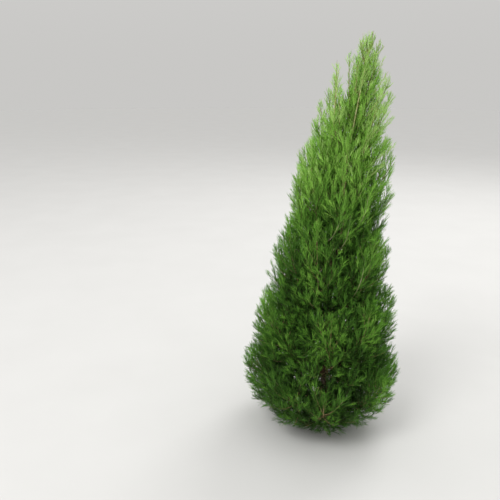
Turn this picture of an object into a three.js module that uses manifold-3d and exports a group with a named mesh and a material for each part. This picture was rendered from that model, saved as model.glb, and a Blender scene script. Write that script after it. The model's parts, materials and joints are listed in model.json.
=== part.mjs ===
// A young Chinese juniper, the kind that stands in nursery rows: one slightly leaning trunk, upswept boughs
// in tiers, and on every bough a plume of foliage that keeps to its own share of a narrow, pointed crown.
// Millimetres, Z up. The trunk's foot is at the origin, X runs to the right and Y away from the viewer.

import * as THREE from "three";
import { mergeVertices } from "three/addons/utils/BufferGeometryUtils.js";
import Module from "manifold-3d";

const wasm = await Module();
wasm.setup();

const { lerp, degToRad, clamp } = THREE.MathUtils;
const UP = new THREE.Vector3(0, 0, 1);
const GOLDEN_ANGLE = Math.PI * (3 - Math.sqrt(5));

// The whole tree
const HEIGHT = 1780; // ground to the tip of the leader's last spray
const LEAN = 147; // how far that tip stands to the right of the foot
const LEAN_BEND = 2.2; // a straight lean would be 1; this keeps the foot upright
const SEED = 7;

// The crown's outline, as radius about the trunk's line at a height, and how much fuller its left side is
const CROWN_OUTLINE = [
  { height: 8, radius: 150 },
  { height: 60, radius: 240 },
  { height: 150, radius: 318 },
  { height: 290, radius: 352 },
  { height: 650, radius: 284 },
  { height: 920, radius: 232 },
  { height: 1210, radius: 206 },
  { height: 1450, radius: 152 },
  { height: 1620, radius: 96 },
  { height: 1780, radius: 24 },
];
const CROWN_SKEW = 0.06;
const OUTLINE_SLACK = 14; // a side spray may stand out of the outline by this much
const SPIRE_SLACK = 45; // and the spray on the tip of a plume by this much

// The trunk
const TRUNK_TOP = 1636; // the wood ends here, and the leader's plume goes on from it
const TRUNK_FOOT_RADIUS = 17;
const TRUNK_TOP_RADIUS = 2.8;
const FLARE = 0.55; // the foot is wider than the trunk above it by this share
const FLARE_HEIGHT = 32;
const TRUNK_SIDES = 12;
const TRUNK_STATIONS = [0, 0.012, 0.03, 0.07, 0.16, 0.3, 0.45, 0.6, 0.75, 0.88, 1];

// Boughs and the stems of the plumes
const CLEARANCE = 0.3; // between a bough and the trunk, and between a bough's tip and its plume
const BOUGH_SIDES = 6;
const BOUGH_TAPER = 0.62; // radius at the end of a bough, as a share of that at the trunk
const COLLAR = 1.35; // a bough is this much thicker where it leaves the trunk
const COLLAR_END = 0.3; // share of the bough's length where that thickening ends
const STEM_SIDES = 6;
const STEM_TIP_RADIUS = 1.6;

// Each tier's plumes leave the trunk between foot and foot + climb, and end near tip, where inset is their
// share of the crown's radius. The knee and rise place the bend: shares of the way out and of the way up.
// The phase is in degrees about the trunk, 270 facing the viewer. The bough is a share of the plume's axis.
const TIERS = [
  { name: "skirt", count: 8, foot: 104, climb: 64, tip: 275, inset: 0.9, knee: 0.8, rise: -0.06,
    phase: 272, bough: 0.22, radius: 6.4, twigs: 13, lift: 0.12 },
  { name: "lower", count: 7, foot: 225, climb: 100, tip: 585, inset: 0.88, knee: 0.8, rise: 0.22,
    phase: 259, bough: 0.2, radius: 6.6, twigs: 14, lift: 0.25 },
  { name: "middle", count: 6, foot: 400, climb: 120, tip: 915, inset: 0.84, knee: 0.74, rise: 0.28,
    phase: 253, bough: 0.17, radius: 5.8, twigs: 14, lift: 0.3 },
  { name: "upper", count: 5, foot: 660, climb: 130, tip: 1240, inset: 0.8, knee: 0.72, rise: 0.32,
    phase: 287, bough: 0, radius: 5, twigs: 15, lift: 0.3 },
  { name: "top", count: 4, foot: 990, climb: 130, tip: 1490, inset: 0.68, knee: 0.62, rise: 0.36,
    phase: 240, bough: 0, radius: 3.8, twigs: 11, lift: 0.3 },
  { name: "crest", count: 3, foot: 1310, climb: 90, tip: 1628, inset: 0.6, knee: 0.6, rise: 0.4,
    phase: 268, bough: 0, radius: 2.6, twigs: 6, lift: 0.3 },
];
const TURN_JITTER = degToRad(9);
const TIP_JITTER = 34;
const INSET_JITTER = 0.05;

// Plumes that stand alone: the second leader on the left, the loose shoots that bend out on the right, and
// the leader, which goes straight on from the trunk
const SECOND_LEADER = { name: "second_leader", foot: 960, turn: 183, tip: 1610, out: 112,
  knee: 1.02, rise: 0.5, bough: 0.16, radius: 4.2, twigs: 9, lift: 0.3 };
const RIGHT_SHOOTS = { name: "right_shoots", foot: 1210, turn: 352, tip: 1535, out: 100,
  knee: 0.55, rise: 0.4, bough: 0, radius: 3, twigs: 8, lift: 0.3 };
const LEADER = { name: "leader", stem: 62, twigs: 4, lift: 0.4 };

// The core: the stem swells into it, ridged, and slimmer than the way to the next plume
const CORE_SHARE = 0.7;
const CORE_LARGEST = 84;
const CORE_SWELLS = [[0.12, 0.5], [0.34, 1], [0.66, 0.85], [0.9, 0.3]]; // shares of the stem and the radius
const CORE_GROOVE = 0.55; // every second ridge is a groove, this share as far out

// The growing rule: twigs in a golden spiral round the stem. Each twig widens into a toothed spray.
const TWIG_SUNK = 0.35; // its root lies this share of the core's radius from the stem's middle
const TWIGS_START = 0.04; // the stretch of the stem that carries twigs
const TWIGS_END = 0.84;
const TWIG_LONGEST = 205;
const TWIG_SHRINK = 0.6; // the last twig's length as a share of the first one's
const TWIG_SIZES = [1, 0.86, 0.74, 0.62, 0.5]; // one that doesn't fit is tried again at these sizes
const SPREAD_FIRST = degToRad(66); // angle from the stem, for the first twig and the last one
const SPREAD_LAST = degToRad(32);
const SPREAD_TRIES = [1, 0.75, 1.2]; // and at these shares of that angle
const ROLL = 0.7; // how far a spray may turn from facing outwards, in radians
const NEIGHBOUR_GAP = 1.2; // a plume stays this far inside the boundary with the next one
const LIMB_GAP = 1.5;
const LOWEST = 10; // no foliage hangs lower than this
const AXIS_SAMPLES = 12;
const SMALLEST_EDGE = 0.02; // joins leave slivers below this, which are taken out

// One side of a twig as [share of the length, share of half the width]: it widens to two forward teeth
const TWIG_OUTLINE = [[0.6, 1], [0.54, 0.52], [0.85, 0.56]];
const TWIG_WIDTH = 0.43; // of its length, over the first teeth
const TWIG_THICKNESS = 0.12;
const TWIG_RIB = 0.46; // where it is thickest
const SPIRE_LENGTH = 118; // the spray that goes on from the stem's tip
const SPIRE_ROOT = 30; // and how deep it is sunk

// Mulberry32: the same seed always grows the same tree
function seeded(seed) {
  let state = seed >>> 0;
  return () => {
    state = (state + 0x6d2b79f5) >>> 0;
    let mixed = Math.imul(state ^ (state >>> 15), state | 1);
    mixed ^= mixed + Math.imul(mixed ^ (mixed >>> 7), mixed | 61);
    return ((mixed ^ (mixed >>> 14)) >>> 0) / 4294967296;
  };
}

// The line that the trunk follows from the ground to TRUNK_TOP
class TrunkLine extends THREE.Curve {
  getPoint(share, target = new THREE.Vector3()) {
    const height = share * TRUNK_TOP;
    return target.set(LEAN * (height / HEIGHT) ** LEAN_BEND, 0, height);
  }

  getTangent(share, target = new THREE.Vector3()) {
    const height = share * TRUNK_TOP;
    const slope = ((LEAN * LEAN_BEND) / HEIGHT) * (height / HEIGHT) ** (LEAN_BEND - 1);
    return target.set(slope, 0, 1).normalize();
  }
}
const trunkLine = new TrunkLine();

function trunkPoint(height) {
  return trunkLine.getPoint(height / TRUNK_TOP);
}

function trunkRadius(height) {
  const share = clamp(height / TRUNK_TOP, 0, 1);
  const taper = lerp(TRUNK_FOOT_RADIUS, TRUNK_TOP_RADIUS, share ** 0.85);
  return taper * (1 + FLARE * Math.exp(-height / FLARE_HEIGHT));
}

// The crown's radius at a height, on the side that faces the given turn about the trunk
function crownRadius(height, turn) {
  const last = CROWN_OUTLINE.length - 1;
  if (height <= CROWN_OUTLINE[0].height || height >= CROWN_OUTLINE[last].height) return 0;
  const upper = CROWN_OUTLINE.findIndex((station) => station.height > height);
  const [low, high] = [CROWN_OUTLINE[upper - 1], CROWN_OUTLINE[upper]];
  const share = (height - low.height) / (high.height - low.height);
  return lerp(low.radius, high.radius, share) * (1 - CROWN_SKEW * Math.cos(turn));
}

// One stretch of a curve, as a curve of its own
class Stretch extends THREE.Curve {
  constructor(whole, from, to) {
    super();
    Object.assign(this, { whole, from, to });
  }

  getPoint(share, target) {
    return this.whole.getPoint(lerp(this.from, this.to, share), target);
  }

  getTangent(share, target) {
    return this.whole.getTangent(lerp(this.from, this.to, share), target);
  }
}

// A plume's axis runs from the trunk's line to its tip, in the upright plane that faces its turn
function makePlume({ name, foot, turn, tip, out, knee, rise, bough, radius, twigs, lift }, seed) {
  const outward = new THREE.Vector3(Math.cos(turn), Math.sin(turn), 0);
  const side = new THREE.Vector3(-Math.sin(turn), Math.cos(turn), 0);
  const start = trunkPoint(foot);
  const end = trunkPoint(tip).addScaledVector(outward, out);
  end.addScaledVector(side, -end.clone().sub(start).dot(side));
  const reach = end.clone().sub(start).dot(outward);
  const bend = start.clone().addScaledVector(outward, reach * knee);
  bend.addScaledVector(UP, (tip - foot) * rise);
  const axis = new THREE.QuadraticBezierCurve3(start, bend, end);
  return { name, axis, side, bough, radius, twigs, lift, length: axis.getLength(), seed };
}

function makeTiers() {
  return TIERS.flatMap((tier, level) => {
    const random = seeded(SEED + 100 * level);
    return Array.from({ length: tier.count }, (_, k) => {
      const turn = degToRad(tier.phase + (360 * k) / tier.count) + (random() - 0.5) * 2 * TURN_JITTER;
      const tip = tier.tip + (random() - 0.5) * 2 * TIP_JITTER;
      const inset = tier.inset + (random() - 0.5) * 2 * INSET_JITTER;
      const foot = tier.foot + (tier.climb * ((3 * k) % tier.count)) / tier.count;
      const out = crownRadius(tip, turn) * inset;
      const name = `${tier.name}_${k + 1}`;
      return makePlume({ ...tier, name, foot, turn, tip, out }, SEED + 100 * level + k + 1);
    });
  });
}

function makeLeader() {
  const foot = trunkPoint(TRUNK_TOP);
  const end = foot.clone().addScaledVector(trunkLine.getTangent(1), LEADER.stem);
  const axis = new THREE.LineCurve3(foot, end);
  const side = new THREE.Vector3(0, 1, 0);
  const stem = { bough: 0, radius: TRUNK_TOP_RADIUS, length: LEADER.stem };
  return { ...LEADER, ...stem, axis, side, seed: SEED + 950 };
}

const plumes = [
  ...makeTiers(),
  makePlume({ ...SECOND_LEADER, turn: degToRad(SECOND_LEADER.turn) }, SEED + 900),
  makePlume({ ...RIGHT_SHOOTS, turn: degToRad(RIGHT_SHOOTS.turn) }, SEED + 901),
  makeLeader(),
];
for (const plume of plumes) plume.samples = plume.axis.getPoints(AXIS_SAMPLES);

function distanceToAxis(point, samples) {
  const line = new THREE.Line3();
  const nearest = new THREE.Vector3();
  let least = Infinity;
  for (let k = 1; k < samples.length; k++) {
    line.set(samples[k - 1], samples[k]).closestPointToPoint(point, true, nearest);
    least = Math.min(least, nearest.distanceTo(point));
  }
  return least;
}

function distanceToTrunk(point) {
  const height = clamp(point.z, 0, TRUNK_TOP);
  return point.distanceTo(trunkPoint(height)) - trunkRadius(height);
}

// How far a point of a plume lies inside the plume's own space; below zero it has left it
function roomAt(point, plume, slack) {
  const own = distanceToAxis(point, plume.samples);
  let room = Math.min(point.z - LOWEST, HEIGHT - point.z);
  for (const other of plumes) {
    if (other === plume) continue;
    room = Math.min(room, (distanceToAxis(point, other.samples) - own) / 2 - NEIGHBOUR_GAP);
  }
  if (plume.name !== "leader") room = Math.min(room, distanceToTrunk(point) - LIMB_GAP);
  const centre = trunkPoint(point.z);
  const out = Math.hypot(point.x - centre.x, point.y - centre.y);
  const turn = Math.atan2(point.y - centre.y, point.x - centre.x);
  return Math.min(room, crownRadius(point.z, turn) + slack - out);
}

// A closed lathe of [share of the length, radius] stations, bent along a curve in the plane square to side.
// With a groove below 1, every second ridge between its ends is drawn in to that share of the radius.
function bentLathe(curve, side, stations, sides, groove = 1) {
  const profile = stations.map(([share, radius]) => new THREE.Vector2(radius, share));
  const ends = [stations[0], stations.at(-1)].map(([share]) => new THREE.Vector2(0, share));
  const closed = [ends[0], ...profile, ends[1]];
  const geometry = new THREE.LatheGeometry(closed, sides);
  const position = geometry.attributes.position;
  for (let i = 0; i < position.count; i++) {
    const share = position.getY(i);
    const across = side.clone().cross(curve.getTangent(share));
    const point = curve.getPoint(share);
    const isGroove = share > stations[1][0] && share < 1 && Math.floor(i / closed.length) % 2 === 1;
    const draw = isGroove ? groove : 1;
    point.addScaledVector(side, position.getX(i) * draw).addScaledVector(across, position.getZ(i) * draw);
    position.setXYZ(i, point.x, point.y, point.z);
  }
  return geometry;
}

function toSolid(geometry) {
  const bare = geometry.clone();
  bare.deleteAttribute("normal");
  bare.deleteAttribute("uv");
  const merged = mergeVertices(bare);
  const vertProperties = merged.attributes.position.array;
  const triVerts = new Uint32Array(merged.index.array);
  return new wasm.Manifold(new wasm.Mesh({ numProp: 3, vertProperties, triVerts }));
}

function toGeometry(solid) {
  const { vertProperties, triVerts } = solid.getMesh();
  const geometry = new THREE.BufferGeometry();
  geometry.setAttribute("position", new THREE.BufferAttribute(vertProperties, 3));
  geometry.setIndex(new THREE.BufferAttribute(triVerts, 1));
  geometry.computeVertexNormals();
  return geometry;
}

// The largest body of a join, without scraps or sealed hollows
function largestBody(solid) {
  return solid.decompose().reduce((best, body) => (body.volume() > best.volume() ? body : best));
}

function makeTrunk(swell = 0) {
  const stations = TRUNK_STATIONS.map((share) => [share, trunkRadius(share * TRUNK_TOP) + swell]);
  return toSolid(bentLathe(trunkLine, new THREE.Vector3(0, 1, 0), stations, TRUNK_SIDES));
}

function makeBough(plume, cutter) {
  const stretch = new Stretch(plume.axis, 0, plume.bough);
  const stations = [0, COLLAR_END, 1].map((share) => {
    const collar = share < COLLAR_END ? COLLAR : 1;
    return [share, plume.radius * lerp(1, BOUGH_TAPER, share) * collar];
  });
  return largestBody(toSolid(bentLathe(stretch, plume.side, stations, BOUGH_SIDES)).subtract(cutter));
}

// Where a plume's stem begins: clear of its bough's tip or of the top of the trunk, or inside the trunk
function stemStart(plume) {
  return plume.bough > 0 || plume.name === "leader" ? plume.bough + CLEARANCE / plume.length : 0;
}

// The stem with its core, as [share of the stem, radius]
function stemStations(plume) {
  const stretch = new Stretch(plume.axis, stemStart(plume), 1);
  const foot = plume.bough > 0 ? plume.radius * BOUGH_TAPER : plume.radius;
  const swells = CORE_SWELLS.map(([share, swell]) => {
    const room = Math.max(roomAt(stretch.getPoint(share), plume, 0), 0);
    const core = Math.min(CORE_SHARE * room, CORE_LARGEST) * swell;
    return [share, Math.max(core, lerp(foot, STEM_TIP_RADIUS, share))];
  });
  return [[0, foot], [0.04, foot], ...swells, [1, STEM_TIP_RADIUS]];
}

function radiusAt(stations, share) {
  const upper = stations.findIndex(([place]) => place >= share);
  const [low, high] = [stations[upper - 1], stations[upper]];
  return lerp(low[1], high[1], (share - low[0]) / (high[0] - low[0]));
}

function makeStem(plume, stations) {
  const stretch = new Stretch(plume.axis, stemStart(plume), 1);
  return toSolid(bentLathe(stretch, plume.side, stations, STEM_SIDES, CORE_GROOVE));
}

// A twig that widens into a toothed spray: its rim, and the two points of its rib
function twigPoints(root, heading, flat, length) {
  const across = heading.clone().cross(flat).normalize();
  const width = (length * TWIG_WIDTH) / 2;
  const thickness = (length * TWIG_THICKNESS) / 2;
  const at = (along, wide, thick) => root.clone().addScaledVector(heading, along * length)
    .addScaledVector(across, wide * width).addScaledVector(flat, thick * thickness);
  const left = TWIG_OUTLINE.map(([along, wide]) => at(along, -wide, 0));
  const right = TWIG_OUTLINE.map(([along, wide]) => at(along, wide, 0)).reverse();
  return [at(0, 0, 0), ...left, at(1, 0, 0), ...right, at(TWIG_RIB, 0, 1), at(TWIG_RIB, 0, -1)];
}

function makeTwig(points) {
  const rimLength = points.length - 2;
  const faces = Array.from({ length: rimLength }, (_, k) => {
    const next = (k + 1) % rimLength;
    return [k, rimLength, next, next, rimLength + 1, k];
  });
  return toSolid(new THREE.BufferGeometry().setFromPoints(points).setIndex(faces.flat()));
}

// A direction square to heading, turned about it
function squareTo(heading, turn) {
  const other = Math.abs(heading.z) < 0.9 ? UP : new THREE.Vector3(1, 0, 0);
  return heading.clone().cross(other).normalize().applyAxisAngle(heading, turn);
}

// The largest twig at this root that keeps to the plume's space, or nothing
function fittingTwig(plume, root, tangent, sideways, spread, length, roll) {
  for (const size of TWIG_SIZES) {
    for (const share of SPREAD_TRIES) {
      const heading = tangent.clone().multiplyScalar(Math.cos(spread * share));
      heading.addScaledVector(sideways, Math.sin(spread * share));
      heading.addScaledVector(UP, plume.lift).normalize();
      const facing = sideways.clone().addScaledVector(heading, -sideways.dot(heading)).normalize();
      const flat = facing.applyAxisAngle(heading, roll);
      const points = twigPoints(root, heading, flat, length * size);
      if (points.slice(1).every((point) => roomAt(point, plume, OUTLINE_SLACK) > 0)) return points;
    }
  }
  return null;
}

function growTwigs(plume, stations) {
  const random = seeded(plume.seed);
  const from = stemStart(plume);
  const twigs = [];
  for (let k = 0; k < plume.twigs; k++) {
    const along = (k + 0.5) / plume.twigs;
    const place = lerp(TWIGS_START, TWIGS_END, along);
    const share = lerp(from, 1, place);
    const tangent = plume.axis.getTangent(share);
    const sideways = squareTo(tangent, k * GOLDEN_ANGLE + plume.seed + random() * 0.5);
    const spread = lerp(SPREAD_FIRST, SPREAD_LAST, along);
    const length = TWIG_LONGEST * lerp(1, TWIG_SHRINK, along);
    const roll = (random() - 0.5) * 2 * ROLL;
    const sunk = TWIG_SUNK * radiusAt(stations, place);
    const root = plume.axis.getPoint(share).addScaledVector(sideways, sunk);
    const points = fittingTwig(plume, root, tangent, sideways, spread, length, roll);
    if (points) twigs.push(points);
  }
  const heading = plume.axis.getTangent(1);
  const root = plume.axis.getPoint(1).addScaledVector(heading, -SPIRE_ROOT);
  for (const size of TWIG_SIZES) {
    const points = twigPoints(root, heading, squareTo(heading, plume.seed), SPIRE_LENGTH * size);
    if (points.slice(1).every((point) => roomAt(point, plume, SPIRE_SLACK) > 0)) {
      twigs.push(points);
      break;
    }
  }
  return twigs;
}

function makeMass(plume, cutter) {
  const stations = stemStations(plume);
  const twigs = growTwigs(plume, stations).map(makeTwig);
  const joined = wasm.Manifold.union([makeStem(plume, stations), ...twigs]);
  const clear = plume.bough > 0 || plume.name === "leader" ? joined : joined.subtract(cutter);
  return largestBody(largestBody(clear).simplify(SMALLEST_EDGE));
}

const bark = new THREE.MeshStandardMaterial({ color: 0x6a4c38, roughness: 0.9, metalness: 0 });
const youngBark = new THREE.MeshStandardMaterial({ color: 0x8a6545, roughness: 0.85, metalness: 0 });
const needles = new THREE.MeshStandardMaterial({ color: 0x3f7a2c, roughness: 0.75, metalness: 0 });

function named(name, solid, material) {
  const mesh = new THREE.Mesh(toGeometry(solid), material);
  mesh.name = name;
  return mesh;
}

const tree = new THREE.Group();
const cutter = makeTrunk(CLEARANCE);
tree.add(named("trunk", makeTrunk(), bark));
for (const plume of plumes) {
  if (plume.bough > 0) tree.add(named(`bough_${plume.name}`, makeBough(plume, cutter), youngBark));
  tree.add(named(`foliage_${plume.name}`, makeMass(plume, cutter), needles));
}

export default tree;
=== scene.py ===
# %% [markdown]
# # A young Chinese juniper
#
# This lesson dresses the plain solids of a nursery juniper in bark, twigs and needles. The solids come in
# as a fixed frame: they give the tree its height, its lean and the reach of every plume. We never move
# them. We grow a finer tree through the same space, by the same rule, and hide each solid that a finer
# piece stands for.
#
# Everything is in metres, with the trunk's foot at the origin, Z up and Y away from the viewer.

# %% Load the frame
import json
import math
from dataclasses import dataclass

import bpy
import numpy as np
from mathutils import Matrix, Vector
from mathutils.kdtree import KDTree

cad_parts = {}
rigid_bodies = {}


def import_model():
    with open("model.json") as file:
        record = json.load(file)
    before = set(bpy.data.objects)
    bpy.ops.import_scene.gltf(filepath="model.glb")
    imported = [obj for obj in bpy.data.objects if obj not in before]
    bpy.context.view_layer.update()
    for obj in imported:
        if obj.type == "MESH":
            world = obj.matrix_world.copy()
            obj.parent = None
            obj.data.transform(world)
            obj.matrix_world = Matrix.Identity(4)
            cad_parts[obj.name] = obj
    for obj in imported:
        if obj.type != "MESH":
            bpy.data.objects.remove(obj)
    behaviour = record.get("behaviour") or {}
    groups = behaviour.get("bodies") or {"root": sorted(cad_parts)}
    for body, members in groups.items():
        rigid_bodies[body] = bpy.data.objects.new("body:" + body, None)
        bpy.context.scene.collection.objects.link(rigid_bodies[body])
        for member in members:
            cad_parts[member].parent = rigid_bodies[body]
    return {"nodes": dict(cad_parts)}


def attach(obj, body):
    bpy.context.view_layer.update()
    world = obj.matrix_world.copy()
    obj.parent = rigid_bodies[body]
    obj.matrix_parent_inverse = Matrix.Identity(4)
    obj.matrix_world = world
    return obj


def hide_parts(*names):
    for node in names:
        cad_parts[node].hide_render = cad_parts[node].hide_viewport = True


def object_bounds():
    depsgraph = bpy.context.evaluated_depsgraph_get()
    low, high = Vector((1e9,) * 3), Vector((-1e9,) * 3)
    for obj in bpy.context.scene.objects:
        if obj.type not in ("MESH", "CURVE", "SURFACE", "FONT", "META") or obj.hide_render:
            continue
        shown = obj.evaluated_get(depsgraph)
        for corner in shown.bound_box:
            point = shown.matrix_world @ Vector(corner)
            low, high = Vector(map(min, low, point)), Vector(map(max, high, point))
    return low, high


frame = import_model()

cad_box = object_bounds()
print("solids:", len(frame["nodes"]))
print("their box:", [[round(value, 3) for value in corner] for corner in cad_box])

# %% [markdown]
# ## The camera
#
# The tree was seen from standing height: eyes 1.6 m above the ground, looking down by some 16 degrees. We
# fix the camera first, so that each piece can be judged from there as soon as it exists. The lens follows
# from the picture being as wide as 5/6 of the distance to what it shows.

# %% Camera
EYE = (-0.351, -2.58, 1.6)
LOOK_DOWN = math.radians(16.17)
SENSOR_WIDTH = 36.0
WIDTH_PER_DISTANCE = 5 / 6


def add_object(name, data):
    """An object in the scene that holds a mesh, a light or a camera"""
    made = bpy.data.objects.new(name, data)
    bpy.context.scene.collection.objects.link(made)
    return made


camera_data = bpy.data.cameras.new("standing_view")
camera_data.sensor_width = SENSOR_WIDTH
camera_data.lens = SENSOR_WIDTH / WIDTH_PER_DISTANCE
camera = add_object("standing_view", camera_data)
camera.location = EYE
camera.rotation_euler = (math.radians(90) - LOOK_DOWN, 0, 0)
bpy.context.scene.camera = camera
print("lens:", round(camera_data.lens, 1), "mm")

# %% [markdown]
# ## The growing rule
#
# A juniper of this kind has one trunk. From it rise stems in tiers, each stem carries a plume of foliage,
# and all the plumes together fill a narrow cone. The solids were grown by a rule with a handful of sizes
# and a seed, so we write that rule down again. With the same numbers we get the same stems and the same
# twigs, and can then carry them on to the fine growth that solids can't show.

# %% Sizes of the tree
HEIGHT = 1.780
LEAN = 0.147
LEAN_BEND = 2.2
SEED = 7
CROWN_HEIGHTS = (0.008, 0.060, 0.150, 0.290, 0.650, 0.920, 1.210, 1.450, 1.620, 1.780)
CROWN_RADII = (0.150, 0.240, 0.318, 0.352, 0.284, 0.232, 0.206, 0.152, 0.096, 0.024)
CROWN_SKEW = 0.06
TRUNK_TOP = 1.636
TRUNK_FOOT_RADIUS = 0.017
TRUNK_TOP_RADIUS = 0.0028
TRUNK_TAPER = 0.85
FLARE = 0.55
FLARE_HEIGHT = 0.032
UP = np.array((0.0, 0.0, 1.0))
GOLDEN_ANGLE = math.pi * (3 - math.sqrt(5))


def trunk_point(height):
    """The trunk's line at one height or at many"""
    height = np.asarray(height, float)
    sideways = LEAN * (np.maximum(height, 0) / HEIGHT) ** LEAN_BEND
    return np.stack([sideways, np.zeros_like(height), height], axis=-1)


def trunk_radius(height):
    share = np.clip(np.asarray(height, float) / TRUNK_TOP, 0, 1)
    taper = TRUNK_FOOT_RADIUS + (TRUNK_TOP_RADIUS - TRUNK_FOOT_RADIUS) * share**TRUNK_TAPER
    return taper * (1 + FLARE * np.exp(-np.asarray(height) / FLARE_HEIGHT))


def crown_radius(height, turn):
    """How far the crown reaches from the trunk's line, at a height and on one side"""
    radius = np.interp(height, CROWN_HEIGHTS, CROWN_RADII, left=0, right=0)
    return radius * (1 - CROWN_SKEW * np.cos(turn))


print("trunk:", round(2000 * float(trunk_radius(0))), "mm across at the ground")

# %% Small tools for directions and for seeded chance
MASK = 0xFFFFFFFF
STEEP = 0.9


def unit(vectors):
    return vectors / np.linalg.norm(vectors, axis=-1, keepdims=True)


def turned(vectors, axis, angle):
    """Vectors turned about an axis by an angle in radians"""
    angle = np.asarray(angle, float)[..., None]
    along = np.sum(vectors * axis, axis=-1, keepdims=True)
    across = np.cross(axis, vectors)
    return vectors * np.cos(angle) + across * np.sin(angle) + axis * along * (1 - np.cos(angle))


def square_to(heading, turn):
    """A direction square to a heading, turned about it"""
    other = np.where(np.abs(heading[..., 2:]) < STEEP, UP, np.array((1.0, 0.0, 0.0)))
    return turned(unit(np.cross(heading, other)), heading, turn)


def outward_at(turns):
    """Level directions away from the trunk, at one turn about it or at many"""
    return np.stack([np.cos(turns), np.sin(turns), np.zeros_like(turns)], axis=-1)


def beside_trunk(heights, turns, far):
    """Points at a distance from the trunk's line, level with the height there"""
    return trunk_point(heights) + outward_at(turns) * np.asarray(far)[..., None]


def blend(first, last, share):
    return first + (last - first) * share


def on_curve(share, start, bend, end):
    """Points at shares of a curve from start to end, which the bend draws towards itself"""
    share = np.asarray(share, float)[..., None]
    return (1 - share) ** 2 * start + 2 * share * (1 - share) * bend + share**2 * end


def middles(count):
    """The middles of equal steps from 0 to 1"""
    return (np.arange(count) + 0.5) / count


def length_of(path):
    return float(np.linalg.norm(np.diff(path, axis=0), axis=1).sum())


def seeded(seed):
    """The rule's own random numbers, from 0 to 1, made by mixing the bits of a counter"""
    state = seed & MASK

    def draw():
        nonlocal state
        state = (state + 0x6D2B79F5) & MASK
        mixed = ((state ^ (state >> 15)) * (state | 1)) & MASK
        mixed ^= (mixed + (((mixed ^ (mixed >> 7)) * (mixed | 61)) & MASK)) & MASK
        return (mixed ^ (mixed >> 14)) / 2**32

    return draw


def either_way(random, most):
    """A chance step, up to the most in one direction or the other"""
    return (random() - 0.5) * 2 * most


print("first draw:", round(seeded(SEED)(), 4))

# %% [markdown]
# ## Plumes
#
# A plume is the unit of this crown: a stem that leaves the trunk flat, bends and rises to a tip, like a
# flame. Six tiers of them wind round the trunk, and three more stand alone: the second leader on the
# left, loose shoots on the right and the leader itself. A curve with one bend is enough for each, so a
# plume is three points and a few sizes.

# %% The tiers
TIERS = (
    dict(name="skirt", count=8, foot=0.104, climb=0.064, tip=0.275, inset=0.9, knee=0.8, rise=-0.06,
         phase=272, bough=0.22, radius=0.0064, twigs=13, lift=0.12),
    dict(name="lower", count=7, foot=0.225, climb=0.1, tip=0.585, inset=0.88, knee=0.8, rise=0.22,
         phase=259, bough=0.2, radius=0.0066, twigs=14, lift=0.25),
    dict(name="middle", count=6, foot=0.4, climb=0.12, tip=0.915, inset=0.84, knee=0.74, rise=0.28,
         phase=253, bough=0.17, radius=0.0058, twigs=14, lift=0.3),
    dict(name="upper", count=5, foot=0.66, climb=0.13, tip=1.24, inset=0.8, knee=0.72, rise=0.32,
         phase=287, bough=0, radius=0.005, twigs=15, lift=0.3),
    dict(name="top", count=4, foot=0.99, climb=0.13, tip=1.49, inset=0.68, knee=0.62, rise=0.36,
         phase=240, bough=0, radius=0.0038, twigs=11, lift=0.3),
    dict(name="crest", count=3, foot=1.31, climb=0.09, tip=1.628, inset=0.6, knee=0.6, rise=0.4,
         phase=268, bough=0, radius=0.0026, twigs=6, lift=0.3),
)
SECOND_LEADER = dict(name="second_leader", foot=0.96, turn=math.radians(183), tip=1.61, out=0.112,
                     knee=1.02, rise=0.5, bough=0.16, radius=0.0042, twigs=9, lift=0.3)
RIGHT_SHOOTS = dict(name="right_shoots", foot=1.21, turn=math.radians(352), tip=1.535, out=0.1,
                    knee=0.55, rise=0.4, bough=0, radius=0.003, twigs=8, lift=0.3)
LEADER = dict(name="leader", bough=0, radius=TRUNK_TOP_RADIUS, twigs=4, lift=0.4)
LEADER_STEM = 0.062
TURN_JITTER = math.radians(9)
TIP_JITTER = 0.034
INSET_JITTER = 0.05
TIER_SEEDS, SECOND_LEADER_SEED, RIGHT_SHOOTS_SEED, LEADER_SEED = 100, 900, 901, 950
print("plumes in tiers:", sum(tier["count"] for tier in TIERS))

# %% Curves of the plumes
LENGTH_SAMPLES = 201
BOUGH_TAPER = 0.62


class Plume:
    """A stem on a curve with one bend, from the trunk's line to the plume's tip"""

    def __init__(self, start, bend, end, sizes, seed):
        self.start, self.bend, self.end = start, bend, end
        self.name, self.bough, self.radius = sizes["name"], sizes["bough"], sizes["radius"]
        self.twigs, self.lift, self.seed = sizes["twigs"], sizes["lift"], seed
        self.stem_radius = self.radius * (BOUGH_TAPER if self.bough > 0 else 1)
        self.length = length_of(self.point(np.linspace(0, 1, LENGTH_SAMPLES)))

    def point(self, share):
        return on_curve(share, self.start, self.bend, self.end)

    def heading(self, share):
        share = np.asarray(share, float)[..., None]
        return unit((1 - share) * (self.bend - self.start) + share * (self.end - self.bend))


def make_plume(sizes, seed):
    """A plume from its sizes, all in one upright plane that leaves the trunk"""
    foot, tip = sizes["foot"], sizes["tip"]
    outward = outward_at(sizes["turn"])
    side = np.cross(UP, outward)
    start = trunk_point(foot)
    end = beside_trunk(tip, sizes["turn"], sizes["out"])
    end = end - side * np.dot(end - start, side)
    reach = np.dot(end - start, outward)
    bend = start + outward * reach * sizes["knee"] + UP * (tip - foot) * sizes["rise"]
    return Plume(start, bend, end, sizes, seed)


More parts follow.
